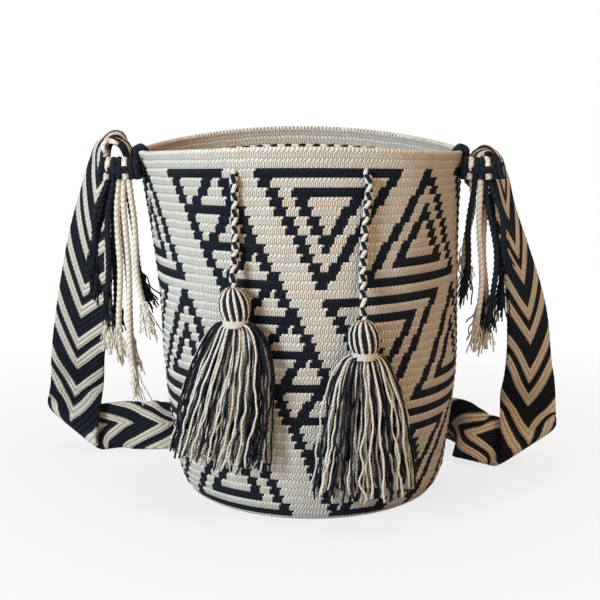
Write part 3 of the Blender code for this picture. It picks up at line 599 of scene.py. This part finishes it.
TASSEL_HEAD_HEIGHT = 0.0240
TASSEL_NECK_RADIUS = 0.0080
TASSEL_TIE_HEIGHT = 0.0060
SKIRT_HALF_DEPTH = 0.0135
SKIRT_WALL_HEIGHT = 0.070
SKIRT_YARNS = 130
SKIRT_OVERLAP = 0.004
SKIRT_SWELL = 1.04
SKIRT_LEAST_OFF = 0.0016
SKIRT_WAVES = ((0.0030, 0.5, 1.3), (0.0016, 2.0, 4.2), (0.0007, 5.0, 8.0))
SKIRT_BLACK_SHARE = 0.45
GOLDEN_ANGLE = 2.39996
HEAD_YARNS = 26
HEAD_PROFILE = ((0, 0.10, 0.35, 0.65, 0.90, 1.0), (0.0072, 0.0095, 0.0108, 0.0104, 0.0070, 0.0022))
CORE_RADIUS = 0.0093
CORE_HEIGHT = 0.0262
TIE_TURNS = 4.5
TIE_RADIUS = 0.0089
FINE_YARN_RADIUS = 0.00085
HEAD_YARN_RADIUS = 0.00135


def beside_wall(degrees, height, shift, off):
    """Points at a height, a distance round the wall from an angle, and a distance off it."""
    radius = sum(wall_axes(SKIRT_WALL_HEIGHT)) / 2 + TASSEL_HEAD_RADIUS
    points = wall_point(degrees + np.degrees(shift / radius), np.maximum(height, SKIRT_WALL_HEIGHT), off)
    points[..., 2] = height
    return points


def tassel(side, degrees, top, length, half_width, lean, seed):
    """Skirt yarns fan out from the neck over a filled ellipse that widens downwards, each with its own
    length and waves. Head yarns run over the fold like lines of longitude. The tie is a helix of thread."""
    chance = np.random.default_rng(seed)
    tie_top = top - TASSEL_HEAD_HEIGHT
    skirt_top = tie_top - TASSEL_TIE_HEIGHT
    number = np.arange(SKIRT_YARNS)
    reach = np.sqrt((number + 0.5) / SKIRT_YARNS)[:, None]
    spin = (number * GOLDEN_ANGLE)[:, None]
    share = np.linspace(0, 1, 42)[None, :]
    own_length = length * (1.0 + chance.uniform(-0.10, 0.05, (SKIRT_YARNS, 1)))
    width = TASSEL_NECK_RADIUS * 0.9 + (half_width - TASSEL_NECK_RADIUS) * share**0.42
    depth = TASSEL_NECK_RADIUS * 0.9 + (SKIRT_HALF_DEPTH - TASSEL_NECK_RADIUS) * np.minimum(share * 3, 1)
    waves = sum(chance.uniform(0.2, 1.0, (SKIRT_YARNS, 1)) * size * share**0.7
                * np.sin(2 * np.pi * (chance.uniform(slow, fast, (SKIRT_YARNS, 1)) * share
                                      + chance.uniform(0, 1, (SKIRT_YARNS, 1))))
                for size, slow, fast in SKIRT_WAVES)
    shift = lean * share**1.3 + reach * np.cos(spin) * width + waves
    drawn_in = (TASSEL_OFFSET - CORE_RADIUS) * (1 - np.minimum(share * 4, 1))
    middle = ROUND_RIDGE / 2 + SEAT_GAP + depth * SKIRT_SWELL + drawn_in
    off = np.maximum(middle + reach * np.sin(spin) * depth * 0.96 + waves[:, ::-1] * 0.4, SKIRT_LEAST_OFF)
    height = skirt_top + SKIRT_OVERLAP - share * (own_length + SKIRT_OVERLAP)
    paths = beside_wall(degrees, height, shift, off)
    dark = (chance.uniform(0, 1, SKIRT_YARNS) < SKIRT_BLACK_SHARE).astype(float)
    skirt = strands(f"tassel_{side}_skirt", paths, FINE_YARN_RADIUS, dark, chance.uniform(0, 1, SKIRT_YARNS),
                    lead=0.007, lobe=0.12)
    spin = 2 * np.pi * (np.arange(HEAD_YARNS) + chance.uniform(-0.2, 0.2, HEAD_YARNS))[:, None] / HEAD_YARNS
    rise = np.linspace(0, 1, 15)[None, :]
    round_out = np.interp(rise, *HEAD_PROFILE)
    height = np.broadcast_to(tie_top - 0.001 + rise * (TASSEL_HEAD_HEIGHT + 0.0005), (HEAD_YARNS, 15))
    paths = beside_wall(degrees, height, round_out * np.cos(spin + 0.25 * rise),
                        TASSEL_OFFSET + round_out * np.sin(spin + 0.25 * rise))
    dark = np.arange(HEAD_YARNS) % 2.0
    head = strands(f"tassel_{side}_head", paths, HEAD_YARN_RADIUS, dark, chance.uniform(0, 1, HEAD_YARNS),
                   lead=0.007, lobe=0.12)
    rise, spin = np.meshgrid(np.linspace(0, 1, 13), np.linspace(0, 2 * np.pi, 20, endpoint=False),
                             indexing="ij")
    round_out = CORE_RADIUS * np.sin(np.pi * np.clip(rise, 0.01, 0.99)) ** 0.6
    points = beside_wall(degrees, tie_top - 0.004 + (1 - rise) * CORE_HEIGHT, round_out * np.cos(spin),
                         TASSEL_OFFSET + round_out * np.sin(spin))
    black_yarn = np.broadcast_to(np.array([1.0, 0.5, 0.0], np.float32), (12, 20, 3))
    core = surface(f"tassel_{side}_core", points, np.zeros((13, 21, 2)), black_yarn)
    wind = np.linspace(0, 1, 110)[None, :]
    turn = 2 * np.pi * TIE_TURNS * wind + 1
    path = beside_wall(degrees, skirt_top + 0.0007 + wind * (TASSEL_TIE_HEIGHT - 0.0012),
                       TIE_RADIUS * np.cos(turn), TASSEL_OFFSET + TIE_RADIUS * np.sin(turn))
    tie = strands(f"tassel_{side}_binding", path, FINE_YARN_RADIUS, 0.0, 0.7, lead=0.004, lobe=0.1)
    for piece in (skirt, head, core):
        dress(piece, plied_cotton, f"tassel_{side}_yarn")
    dress(tie, plied_cotton, f"tassel_{side}_tie")
    return [head, tie, core]


on_cord = tassel("left", LEFT_TASSEL_ANGLE, LEFT_TASSEL_TOP, 0.112, 0.052, -0.029, 3)
on_cord += tassel("right", RIGHT_TASSEL_ANGLE, RIGHT_TASSEL_TOP, 0.110, 0.046, 0.003, 8)

# Strap
# One band of black and cream plied cotton cords, which lie side by side and meet in a V along its middle,
# alike on both faces. It folds over itself on the floor at each side, and both ends are lashed to the rim.

STRAP_COLUMNS = np.linspace(-1, 1, 49)
STRAP_WIDTH = 0.0500
STRAP_THICKNESS = 0.0046
STRAP_ANGLE = 90.0
STRAP_FOLD_RADIUS = 0.0045
STRAP_FINE_STEP = 0.0013
STRAP_FOLD_MARGIN = 0.0040
STRAP_RUN_IN = 1.25
FLOOR_GAP = 0.0005
STRAP_LEFT_SEAT = (0.912, 0.972)
STRAP_LEFT_SIDE = (
    (0.0055, 0.0125, 1.018, 86.0), (0.0125, 0.0140, 1.026, 80.0), (0.0200, 0.0170, 0.996, 70.0),
    (0.0245, 0.0220, 0.935, 60.0), (0.0300, 0.0310, 0.839, 50.0), (0.0380, 0.0460, 0.713, 37.0),
    (0.0460, 0.0640, 0.580, 26.0), (0.0545, 0.0830, 0.443, 18.0), (0.0620, 0.1020, 0.302, 10.0),
)
STRAP_LEFT_FOLD = (0.0680, 0.0940, 0.0, 50.0, 2.0, 50.0)
STRAP_RIGHT_SEAT = (0.886, 0.946)
STRAP_RIGHT_SIDE = (
    (0.0055, 0.0125, 0.988, 86.0), (0.0115, 0.0130, 0.994, 82.0), (0.0190, 0.0140, 0.970, 76.0),
    (0.0240, 0.0160, 0.914, 70.0), (0.0295, 0.0200, 0.815, 64.0), (0.0395, 0.0270, 0.696, 58.0),
    (0.0490, 0.0360, 0.573, 50.0), (0.0550, 0.0450, 0.478, 43.0), (0.0590, 0.0540, 0.383, 36.0),
    (0.0605, 0.0580, 0.288, 26.0),
)
STRAP_RIGHT_FOLD = (0.0590, 0.0380, -6.0, 48.0, 0.0, 52.0)
STRAP_FLOOR = (
    (236.0, 0.0700, 36.0), (222.0, 0.0540, 40.0), (203.0, 0.0400, 12.0), (180.0, 0.0350, 0.0),
    (159.0, 0.0430, -12.0), (142.0, 0.0520, -36.0), (127.0, 0.0580, -60.0),
)
LASHING_THICKNESS = 0.0044
STRIPE_LENGTH = 0.0620
STRIPE_CORDS = 10
CREAM_END = 0.225
NARROW_BLACK_END = 0.395
WIDE_BLACK_START = 0.625
LEFT_ARM_SLOPE = 1.9
RIGHT_ARM_SLOPE = 1.35
STRAP_CORD_RIDGE = 0.0004


def rim_height_at_sides():
    """Height of the rim where the band goes over it."""
    return float(wall_point(STRAP_ANGLE, BAG_HEIGHT)[2])


def strap_seat():
    """Distance of the band's middle off the wall where it lies on the lashing."""
    return ROUND_RIDGE / 2 + SEAT_GAP + LASHING_THICKNESS + BAND_SEAT_GAP + STRAP_THICKNESS / 2


def side_sign(side):
    """-1 on the left side and 1 on the right."""
    return -1.0 if side == "left" else 1.0


def seat_point(side, height):
    """Middle of the band where it lies on the lashing."""
    return wall_point(side_sign(side) * STRAP_ANGLE, height, strap_seat())


def out_from_side(side, out):
    """A sideways position, measured out from where the band is seated at the rim."""
    return float(seat_point(side, BAG_HEIGHT)[0]) + side_sign(side) * out


def fold_frame(side, fold):
    """Middle of a floor fold, its directions down the band, across it towards the bag and behind it, and
    the fold's angle to the band. It stands with its lowest corner just clear of the floor."""
    out, y, *angles = fold
    sign = side_sign(side)
    turned, leant, swung, crease = (math.radians(a) for a in angles)
    level = np.array([-sign * math.cos(turned), -math.sin(turned), 0.0])
    back = np.array([-sign * math.sin(turned), math.cos(turned), 0.0])
    slope = -math.sin(leant) * back - np.array([0, 0, math.cos(leant)])
    down = math.cos(swung) * slope - math.sin(swung) * level
    across = math.cos(swung) * level + math.sin(swung) * slope
    behind = np.cross(across, down) * -sign
    frame = (np.array([out_from_side(side, out), y, 0.0]), down, across, behind, crease)
    frame[0][2] = FLOOR_GAP + STRAP_THICKNESS / 2 - fold_rows(frame)[..., 2].min()
    return frame


def fold_reach(crease):
    """How far along the band a fold begins before its middle, and ends past it."""
    before = STRAP_WIDTH / 2 / math.tan(crease) + STRAP_FOLD_MARGIN
    return before, before + math.pi * STRAP_FOLD_RADIUS / math.sin(crease)


def fold_lines(frame):
    """Directions along the fold and square to it, away from the band."""
    _, down, across, _, crease = frame
    along = math.cos(crease) * down + math.sin(crease) * across
    return along, math.sin(crease) * down - math.cos(crease) * across


def fold_rows(frame):
    """The band rolled round a diagonal by a half turn of the fold's radius. Its rows lie along the fold."""
    middle, _, _, behind, crease = frame
    along, over = fold_lines(frame)
    radius = STRAP_FOLD_RADIUS
    width = STRAP_COLUMNS * STRAP_WIDTH / 2
    rolled = np.arange(0, math.pi * radius, STRAP_FINE_STEP)[:, None]
    on_fold = (width / math.sin(crease) + rolled / math.tan(crease))[..., None]
    turn = (rolled / radius + 0 * width)[..., None]
    return middle + on_fold * along + radius * (np.sin(turn) * over + (1 - np.cos(turn)) * behind)


def fold_exit(frame):
    """Middle of the band where it leaves a fold, and its directions ahead and across there."""
    middle, down, across, behind, crease = frame
    _, over = fold_lines(frame)
    ahead = math.cos(2 * crease) * down + math.sin(2 * crease) * across
    shift = math.pi * STRAP_FOLD_RADIUS * over + 2 * STRAP_FOLD_RADIUS * behind
    end = middle + fold_reach(crease)[1] * ahead + shift
    return end, ahead, math.sin(2 * crease) * down - math.cos(2 * crease) * across


def band_rows(points):
    """Middles of a band's rows and their directions. Each point holds a place and the direction across."""
    path = even_path(points, STRAP_FINE_STEP)[0]
    ahead = unit(np.gradient(path[:, :3], axis=0))
    width = path[:, 3:] - (path[:, 3:] * ahead).sum(axis=1)[:, None] * ahead
    return path[:, :3], unit(width)


def spread(middle, width):
    """The rows of a band, from their middles and their directions across it."""
    return middle[:, None] + STRAP_COLUMNS[None, :, None] * STRAP_WIDTH / 2 * width[:, None]


def side_rows(side, seat, route, frame):
    """The hanging part of the band, from its lashing down to its floor fold."""
    sign = side_sign(side)
    middle, down, across, _, crease = frame
    before = fold_reach(crease)[0]
    rim = rim_height_at_sides()
    points = [(*seat_point(side, share * BAG_HEIGHT), 0.0, -1.0, 0.0) for share in seat]
    for out, y, share, turned in route:
        turn = math.radians(turned)
        place = (out_from_side(side, out), y, share * rim)
        points.append((*place, -sign * math.cos(turn), -math.sin(turn), 0.0))
    points.append((*(middle - STRAP_RUN_IN * before * down), *across))
    points.append((*(middle - before * down), *across))
    return spread(*band_rows(points))


def floor_rise(slope):
    """Height of the band's middle when it rests on the floor, tilted with this slope across."""
    return STRAP_WIDTH / 2 * np.abs(slope) + STRAP_THICKNESS / 2 * np.sqrt(1 - slope**2) + FLOOR_GAP


def wall_normal(degrees, height):
    """Level direction straight out of the wall."""
    side = wall_point(degrees + 0.5, height) - wall_point(degrees - 0.5, height)
    normal = np.array([side[1], -side[0], 0.0])
    return normal / np.linalg.norm(normal)


def floor_rows(left, right):
    """The part on the floor between the folds. It leans back, lies flat behind the bag and turns over."""
    end, ahead, across = fold_exit(left)
    points = [(*end, *across), (*(end + STRAP_WIDTH / 4 * ahead), *across)]
    for degrees, off, lean in STRAP_FLOOR:
        slope = math.radians(lean)
        inward = -wall_normal(degrees, 0.0) * math.cos(slope)
        place = wall_point(degrees, 0.0, off)
        place[2] = floor_rise(math.sin(slope))
        points.append((*place, inward[0], inward[1], -math.sin(slope)))
    end, ahead, across = fold_exit(right)
    points += [(*(end + STRAP_WIDTH / 4 * ahead), *-across), (*end, *-across)]
    middle, width = band_rows(points)
    middle[:, 2] = np.maximum(middle[:, 2], floor_rise(width[:, 2]))
    return spread(middle, width)


def chevrons(run):
    """Stripes counted from the nearer end of the band, plus the rise of the V's arms towards the edges."""
    ahead = np.minimum(run, run[-1] - run)[:, None]
    slope = np.where(STRAP_COLUMNS < 0, LEFT_ARM_SLOPE, RIGHT_ARM_SLOPE)[None, :]
    return (ahead + slope * np.abs(STRAP_COLUMNS)[None, :] * STRAP_WIDTH / 2) / STRIPE_LENGTH


def woven_finish(tree):
    """Plied cords side by side along each stripe length: two cream, two black, two cream and four black."""
    across, stripes = thread_places(tree)
    fuzz = fuzz_and_tone(tree, 1300.0)[0]
    out = maths(tree, "ABSOLUTE", across)
    wave = maths(tree, "MULTIPLY", maths(tree, "SINE", maths(tree, "MULTIPLY", out, 80.0)), 0.006)
    stripe = maths(tree, "ADD", stripes, wave)
    share = maths(tree, "FRACT", stripe)
    narrow = maths(tree, "MULTIPLY", maths(tree, "GREATER_THAN", share, CREAM_END),
                   maths(tree, "LESS_THAN", share, NARROW_BLACK_END))
    black = maths(tree, "MAXIMUM", narrow, maths(tree, "GREATER_THAN", share, WIDE_BLACK_START))
    cords = bump_of(tree, maths(tree, "MULTIPLY", stripe, float(STRIPE_CORDS)))
    plies = bump_of(tree, maths(tree, "MULTIPLY_ADD", stripe, 14.0, maths(tree, "MULTIPLY", out, 11.0)))
    relief = maths(tree, "ADD", maths(tree, "MULTIPLY", cords, maths(tree, "MULTIPLY_ADD", plies, 0.5, 0.6)),
                   maths(tree, "MULTIPLY", fuzz, 0.3))
    # Painted shade between the cords and plies, and the lit colour on their ridges.
    depth = band_of(tree, relief, 0.15, 1.15)
    return two_yarns(tree, black, depth, 0.5), relief


woven_cotton = cotton("woven_cotton", woven_finish, 1.0, 0.0008)

left_frame = fold_frame("left", STRAP_LEFT_FOLD)
right_frame = fold_frame("right", STRAP_RIGHT_FOLD)
middle_rows = np.concatenate([
    side_rows("left", STRAP_LEFT_SEAT, STRAP_LEFT_SIDE, left_frame),
    fold_rows(left_frame),
    floor_rows(left_frame, right_frame),
    fold_rows(right_frame)[::-1, ::-1],
    side_rows("right", STRAP_RIGHT_SEAT, STRAP_RIGHT_SIDE, right_frame)[::-1, ::-1],
])
step_along = np.linalg.norm(np.diff(middle_rows[:, len(STRAP_COLUMNS) // 2], axis=0), axis=1)
along = chevrons(np.concatenate([[0], np.cumsum(step_along)]))
face_out = unit(np.cross(np.gradient(middle_rows, axis=0), np.gradient(middle_rows, axis=1)))
cords = 1 - (2 * np.mod(STRIPE_CORDS * along, 1.0) - 1) ** 2
rounded = STRAP_THICKNESS / 2 * (1 - 0.5 * np.abs(STRAP_COLUMNS) ** 8)
thick = rounded[None, :, None] + STRAP_CORD_RIDGE * cords[..., None]
front = middle_rows + thick * face_out
back = middle_rows - thick * face_out
ring = np.concatenate([front, back[:, ::-1]], axis=1)
ring_along = np.concatenate([along, along[:, ::-1], along[:, :1]], axis=1)
ring_across = np.concatenate([STRAP_COLUMNS, STRAP_COLUMNS[::-1], STRAP_COLUMNS[:1]])
weave = np.stack(np.broadcast_arrays(ring_across[None, :], ring_along), axis=-1)
strap_band = surface("strap_band", ring, weave)
dress(strap_band, woven_cotton, "strap")

# Lashings, knots and fringe
# Black cotton cord wound four times over the rim ties on each end of the strap. Beside it hangs a fringe of
# black and cream cotton cords, folded over at their top and bound into a knot, each ending in a loose tuft.

LASHING_WIDTH = 0.0220
LASHING_DROP = 0.0240
LASHING_INSIDE_DROP = 0.0100
LASHING_TURNS = 4
LASHING_FORWARD = 6.0
KNOT_HALF_WIDTH = 0.0178
KNOT_HALF_DEPTH = 0.0078
KNOT_HALF_HEIGHT = 0.0085
KNOT_DROP = 0.0130
KNOT_OUT = 0.0040
KNOT_CORD_RADIUS = 0.0022
KNOT_TURNS = 2.3
KNOT_FOLDS = 7
KNOT_FOLD_SPREAD = 0.82
FRINGE_DIAMETER = 0.0052
FRINGE_PITCH = 0.0062
CORD_STEP = 0.0012
TUFT_LENGTH = 0.036
TUFT_START = 0.026
TUFT_YARNS = 22
TUFT_YARN_RADIUS = 0.0006
TUFT_SPREAD = 0.0036
TUFT_CURL = 0.0011


def lashing(side):
    """Each turn is a loop round the rim: down the outside, over the top and down the inside."""
    degrees = side_sign(side) * (STRAP_ANGLE - LASHING_FORWARD)
    outer = ROUND_RIDGE / 2 + SEAT_GAP
    inner = -WALL_THICKNESS - SEAT_GAP
    cord = LASHING_THICKNESS / 2
    low, top = BAG_HEIGHT - LASHING_DROP, BAG_HEIGHT + SEAT_GAP - (outer - inner) / 2
    turn = np.linspace(0, np.pi, 13)
    bend = (outer - inner) / 2 + cord
    height = np.concatenate([np.linspace(low, top, 12)[:-1], top + bend * np.sin(turn),
                             [BAG_HEIGHT - LASHING_INSIDE_DROP]])
    over = (outer + inner) / 2 + bend * np.cos(turn)
    off = np.concatenate([np.full(11, outer + cord), over, [inner - cord]])
    radius = WALL_HALF_DEPTHS[-1] ** 2 / WALL_HALF_WIDTHS[-1]
    place = (np.arange(LASHING_TURNS) + 0.5) / LASHING_TURNS - 0.5
    shifts = [np.degrees(a * LASHING_WIDTH / radius) for a in place]
    paths = np.array([wall_point(degrees + shift, height, off) for shift in shifts])
    return strands(f"lashing_{side}_cord", paths, LASHING_WIDTH / LASHING_TURNS / 2, 1.0, 0.3, sides=10,
                   lead=0.011, lobe=0.1)


def knot_middle(side):
    """The knot sits against the front edge of the band, beside the lashing."""
    front = seat_point(side, BAG_HEIGHT)[1] - STRAP_WIDTH / 2 - SEAT_GAP - KNOT_HALF_DEPTH
    return np.array([out_from_side(side, KNOT_OUT), front, rim_height_at_sides() - KNOT_DROP])


def fringe_knot(side):
    """The fringe's cords folded over side by side, and bound by two turns of cord round a flat oval."""
    middle = knot_middle(side)
    wind = np.linspace(0, 1, 150)
    turn = 2 * np.pi * KNOT_TURNS * wind
    path = middle + np.stack([(KNOT_HALF_WIDTH - 0.8 * KNOT_CORD_RADIUS) * np.cos(turn),
                              (KNOT_HALF_DEPTH - 0.5 * KNOT_CORD_RADIUS) * np.sin(turn),
                              0.003 - 0.0045 * wind + 0.0012 * np.sin(turn + 1)], axis=1)
    bound = strands(f"knot_{side}_turns", path[None], KNOT_CORD_RADIUS, 1.0, 0.3, sides=8,
                    lead=0.009, lobe=0.1)
    over = np.linspace(0, np.pi, 12)
    depth = KNOT_HALF_DEPTH - 0.003
    back = np.concatenate([[depth, depth], depth * np.cos(over), [-depth, -depth]])
    rise = np.concatenate([[-0.9, -0.3], 0.15 + 0.8 * np.sin(over), [-0.3, -0.9]]) * KNOT_HALF_HEIGHT
    drawn_in = 1 - 0.12 * rise / KNOT_HALF_HEIGHT
    fold = np.array([middle + np.stack([KNOT_HALF_WIDTH * a * drawn_in, back, rise], axis=1)
                     for a in np.linspace(-KNOT_FOLD_SPREAD, KNOT_FOLD_SPREAD, KNOT_FOLDS)])
    folds = strands(f"knot_{side}_folds", fold, FRINGE_DIAMETER / 2, np.arange(KNOT_FOLDS) % 3 != 1, 0.5,
                    sides=8, lead=0.012, lobe=0.12)
    return [bound, folds]


def fringe(side, rows, seed):
    """Two-ply cords hang from the knot, each bowed its own way, and end in a tuft of loosened yarn."""
    chance = np.random.default_rng(seed)
    start = knot_middle(side) - np.array([0, 0, KNOT_HALF_HEIGHT + SEAT_GAP])
    number = 0
    for i, row in enumerate(rows):
        for j, (length, sway, yarn) in enumerate(row):
            number += 1
            name = f"fringe_{side}_{number:02d}"
            black = float(yarn == "black")
            spot = np.array([(j - (len(row) - 1) / 2) * FRINGE_PITCH, (i - 0.5) * FRINGE_PITCH, 0])
            bow = (chance.uniform(0.2, 1.0) * (0.005 + 0.006 * black) * side_sign(side)
                   + chance.normal(0, 0.0015))
            route = [start + spot * (0.72 + 0.4 * t, 0.8 + 0.2 * t, 1)
                     + (sway * t**1.6 + bow * math.sin(2.6 * t) + 0.0015 * math.sin(9 * t + number),
                        0.001 * math.sin(7 * t + 2 * number), 0.006 - t * (length + 0.004))
                     for t in np.linspace(0, 1, 9)]
            path, run = even_path(route, CORD_STEP)
            # A tone of 1 warms the cream of the cords fully: painted shade.
            cord = strands(f"{name}_cord", path[None], FRINGE_DIAMETER / 2 * 0.93, black, 1.0, sides=12,
                           lead=0.0095, lobe=0.16)
            share = np.linspace(0, 1, 10)[None, :, None]
            loose = path[-1 - round(TUFT_START / CORD_STEP)]
            ahead = (path[-1] - loose) / np.linalg.norm(path[-1] - loose)
            spread_out = chance.normal(0, TUFT_SPREAD, (TUFT_YARNS, 1, 3)) * (1, 0.6, 0.3)
            begin = loose + chance.uniform(-0.0014, 0.0014, (TUFT_YARNS, 1, 3)) * (1, 1, 0)
            curl = chance.normal(0, TUFT_CURL, (TUFT_YARNS, 1, 3)) * np.sin(2.6 * np.pi * share)
            reach = TUFT_LENGTH * chance.uniform(0.55, 1.0, (TUFT_YARNS, 1, 1))
            paths = begin + spread_out * share + curl + ahead * reach * share
            tuft = strands(f"{name}_tuft", paths, TUFT_YARN_RADIUS, black, 0.6, sides=5, plies=1, lead=0.006)
            for piece in (cord, tuft):
                dress(piece, plied_cotton, name)


LEFT_FRINGE = (
    ((0.076, -0.007, "black"), (0.118, -0.003, "black"), (0.150, 0.000, "cream"), (0.182, 0.004, "cream"),
     (0.128, 0.009, "cream")),
    ((0.098, -0.008, "black"), (0.140, -0.004, "cream"), (0.124, 0.001, "black"), (0.160, 0.006, "cream"),
     (0.104, 0.011, "black")),
)
RIGHT_FRINGE = (
    ((0.100, -0.003, "black"), (0.138, -0.001, "cream"), (0.122, 0.002, "black"), (0.076, 0.010, "black")),
    ((0.084, -0.004, "cream"), (0.128, -0.001, "black"), (0.142, 0.003, "cream"), (0.112, 0.008, "black")),
)
for side, rows, seed in (("left", LEFT_FRINGE, 21), ("right", RIGHT_FRINGE, 34)):
    dress(lashing(side), plied_cotton, f"lashing_{side}")
    for piece in fringe_knot(side):
        dress(piece, plied_cotton, f"fringe_knot_{side}")
    fringe(side, rows, seed)

# Floor and light
# A plain pale floor with a soft shadow under a bright, even surround. A large lamp stands to the left of the
# camera, a weaker one to its right, and a broad faint one above the back of the bag.

FLOOR_HALF_SIZE = 60
SHADOW_RANGE = (0.14, 0.60)
SHADOW_WHITE = (0.76, 1.0)


def seen_directly(tree):
    """1 for rays that come from the camera or through clear and glossy surfaces, and 0 for soft light."""
    rays = node(tree, "LightPath").outputs
    mirrored = maths(tree, "MAXIMUM", rays["Is Glossy Ray"], rays["Is Transmission Ray"])
    return maths(tree, "MAXIMUM", rays["Is Camera Ray"], mirrored)


floor_mesh = bpy.data.meshes.new("floor")
corners = [(x * FLOOR_HALF_SIZE, y * FLOOR_HALF_SIZE, 0) for x, y in ((-1, -1), (1, -1), (1, 1), (-1, 1))]
floor_mesh.from_pydata(corners, [], [(0, 1, 2, 3)])
floor = placed("floor", floor_mesh)
pale = bpy.data.materials.new("pale_floor")
pale.use_nodes = True
tree = pale.node_tree
tree.nodes.clear()
white = node(tree, "Emission", Color=(1.0, 1.0, 1.0, 1.0), Strength=1.0)
matte = node(tree, "BsdfDiffuse", Color=(0.62, 0.62, 0.62, 1.0))
place = node(tree, "TexCoord").outputs["Object"]
away = node(tree, "VectorMath", {"operation": "LENGTH"}, n0=place).outputs["Value"]
share = maths(tree, "MULTIPLY", seen_directly(tree), band_of(tree, away, *SHADOW_RANGE, *SHADOW_WHITE))
both = node(tree, "MixShader", n0=share, n1=matte.outputs[0], n2=white.outputs[0])
node(tree, "OutputMaterial", Surface=both.outputs[0])
floor_mesh.materials.append(pale)


def lamp(name, place, target, size, power, colour):
    """A square area lamp that faces a point."""
    light = bpy.data.lights.new(name, "AREA")
    light.size = size
    light.energy = power
    light.color = colour
    made = placed(name, light)
    away = np.array(target) - np.array(place)
    made.location = place
    made.rotation_euler = (math.atan2(math.hypot(away[0], away[1]), -away[2]), 0.0,
                           math.atan2(away[1], away[0]) - math.pi / 2)


lamp("key", (-1.5, -1.45, 0.80), (0.0, 0.0, 0.12), 0.7, 62.0, (0.65, 0.825, 1.0))
lamp("fill", (1.3, -1.1, 1.9), (0.0, 0.0, 0.15), 1.0, 25.0, (1.0, 0.71, 0.45))
lamp("top", (0.1, 0.5, 2.0), (0.0, 0.0, 0.1), 1.4, 13.0, (1.0, 0.95, 0.88))
world = bpy.data.worlds.new("studio")
bpy.context.scene.world = world
world.use_nodes = True
tree = world.node_tree
tree.nodes.clear()
tint = mixed(tree, seen_directly(tree), (0.155, 0.13, 0.105, 1.0), (1.0, 1.0, 1.0, 1.0))
sky = node(tree, "Background", Color=tint, Strength=1.0)
node(tree, "OutputWorld", Surface=sky.outputs[0])
bpy.context.scene.view_settings.view_transform = "Standard"
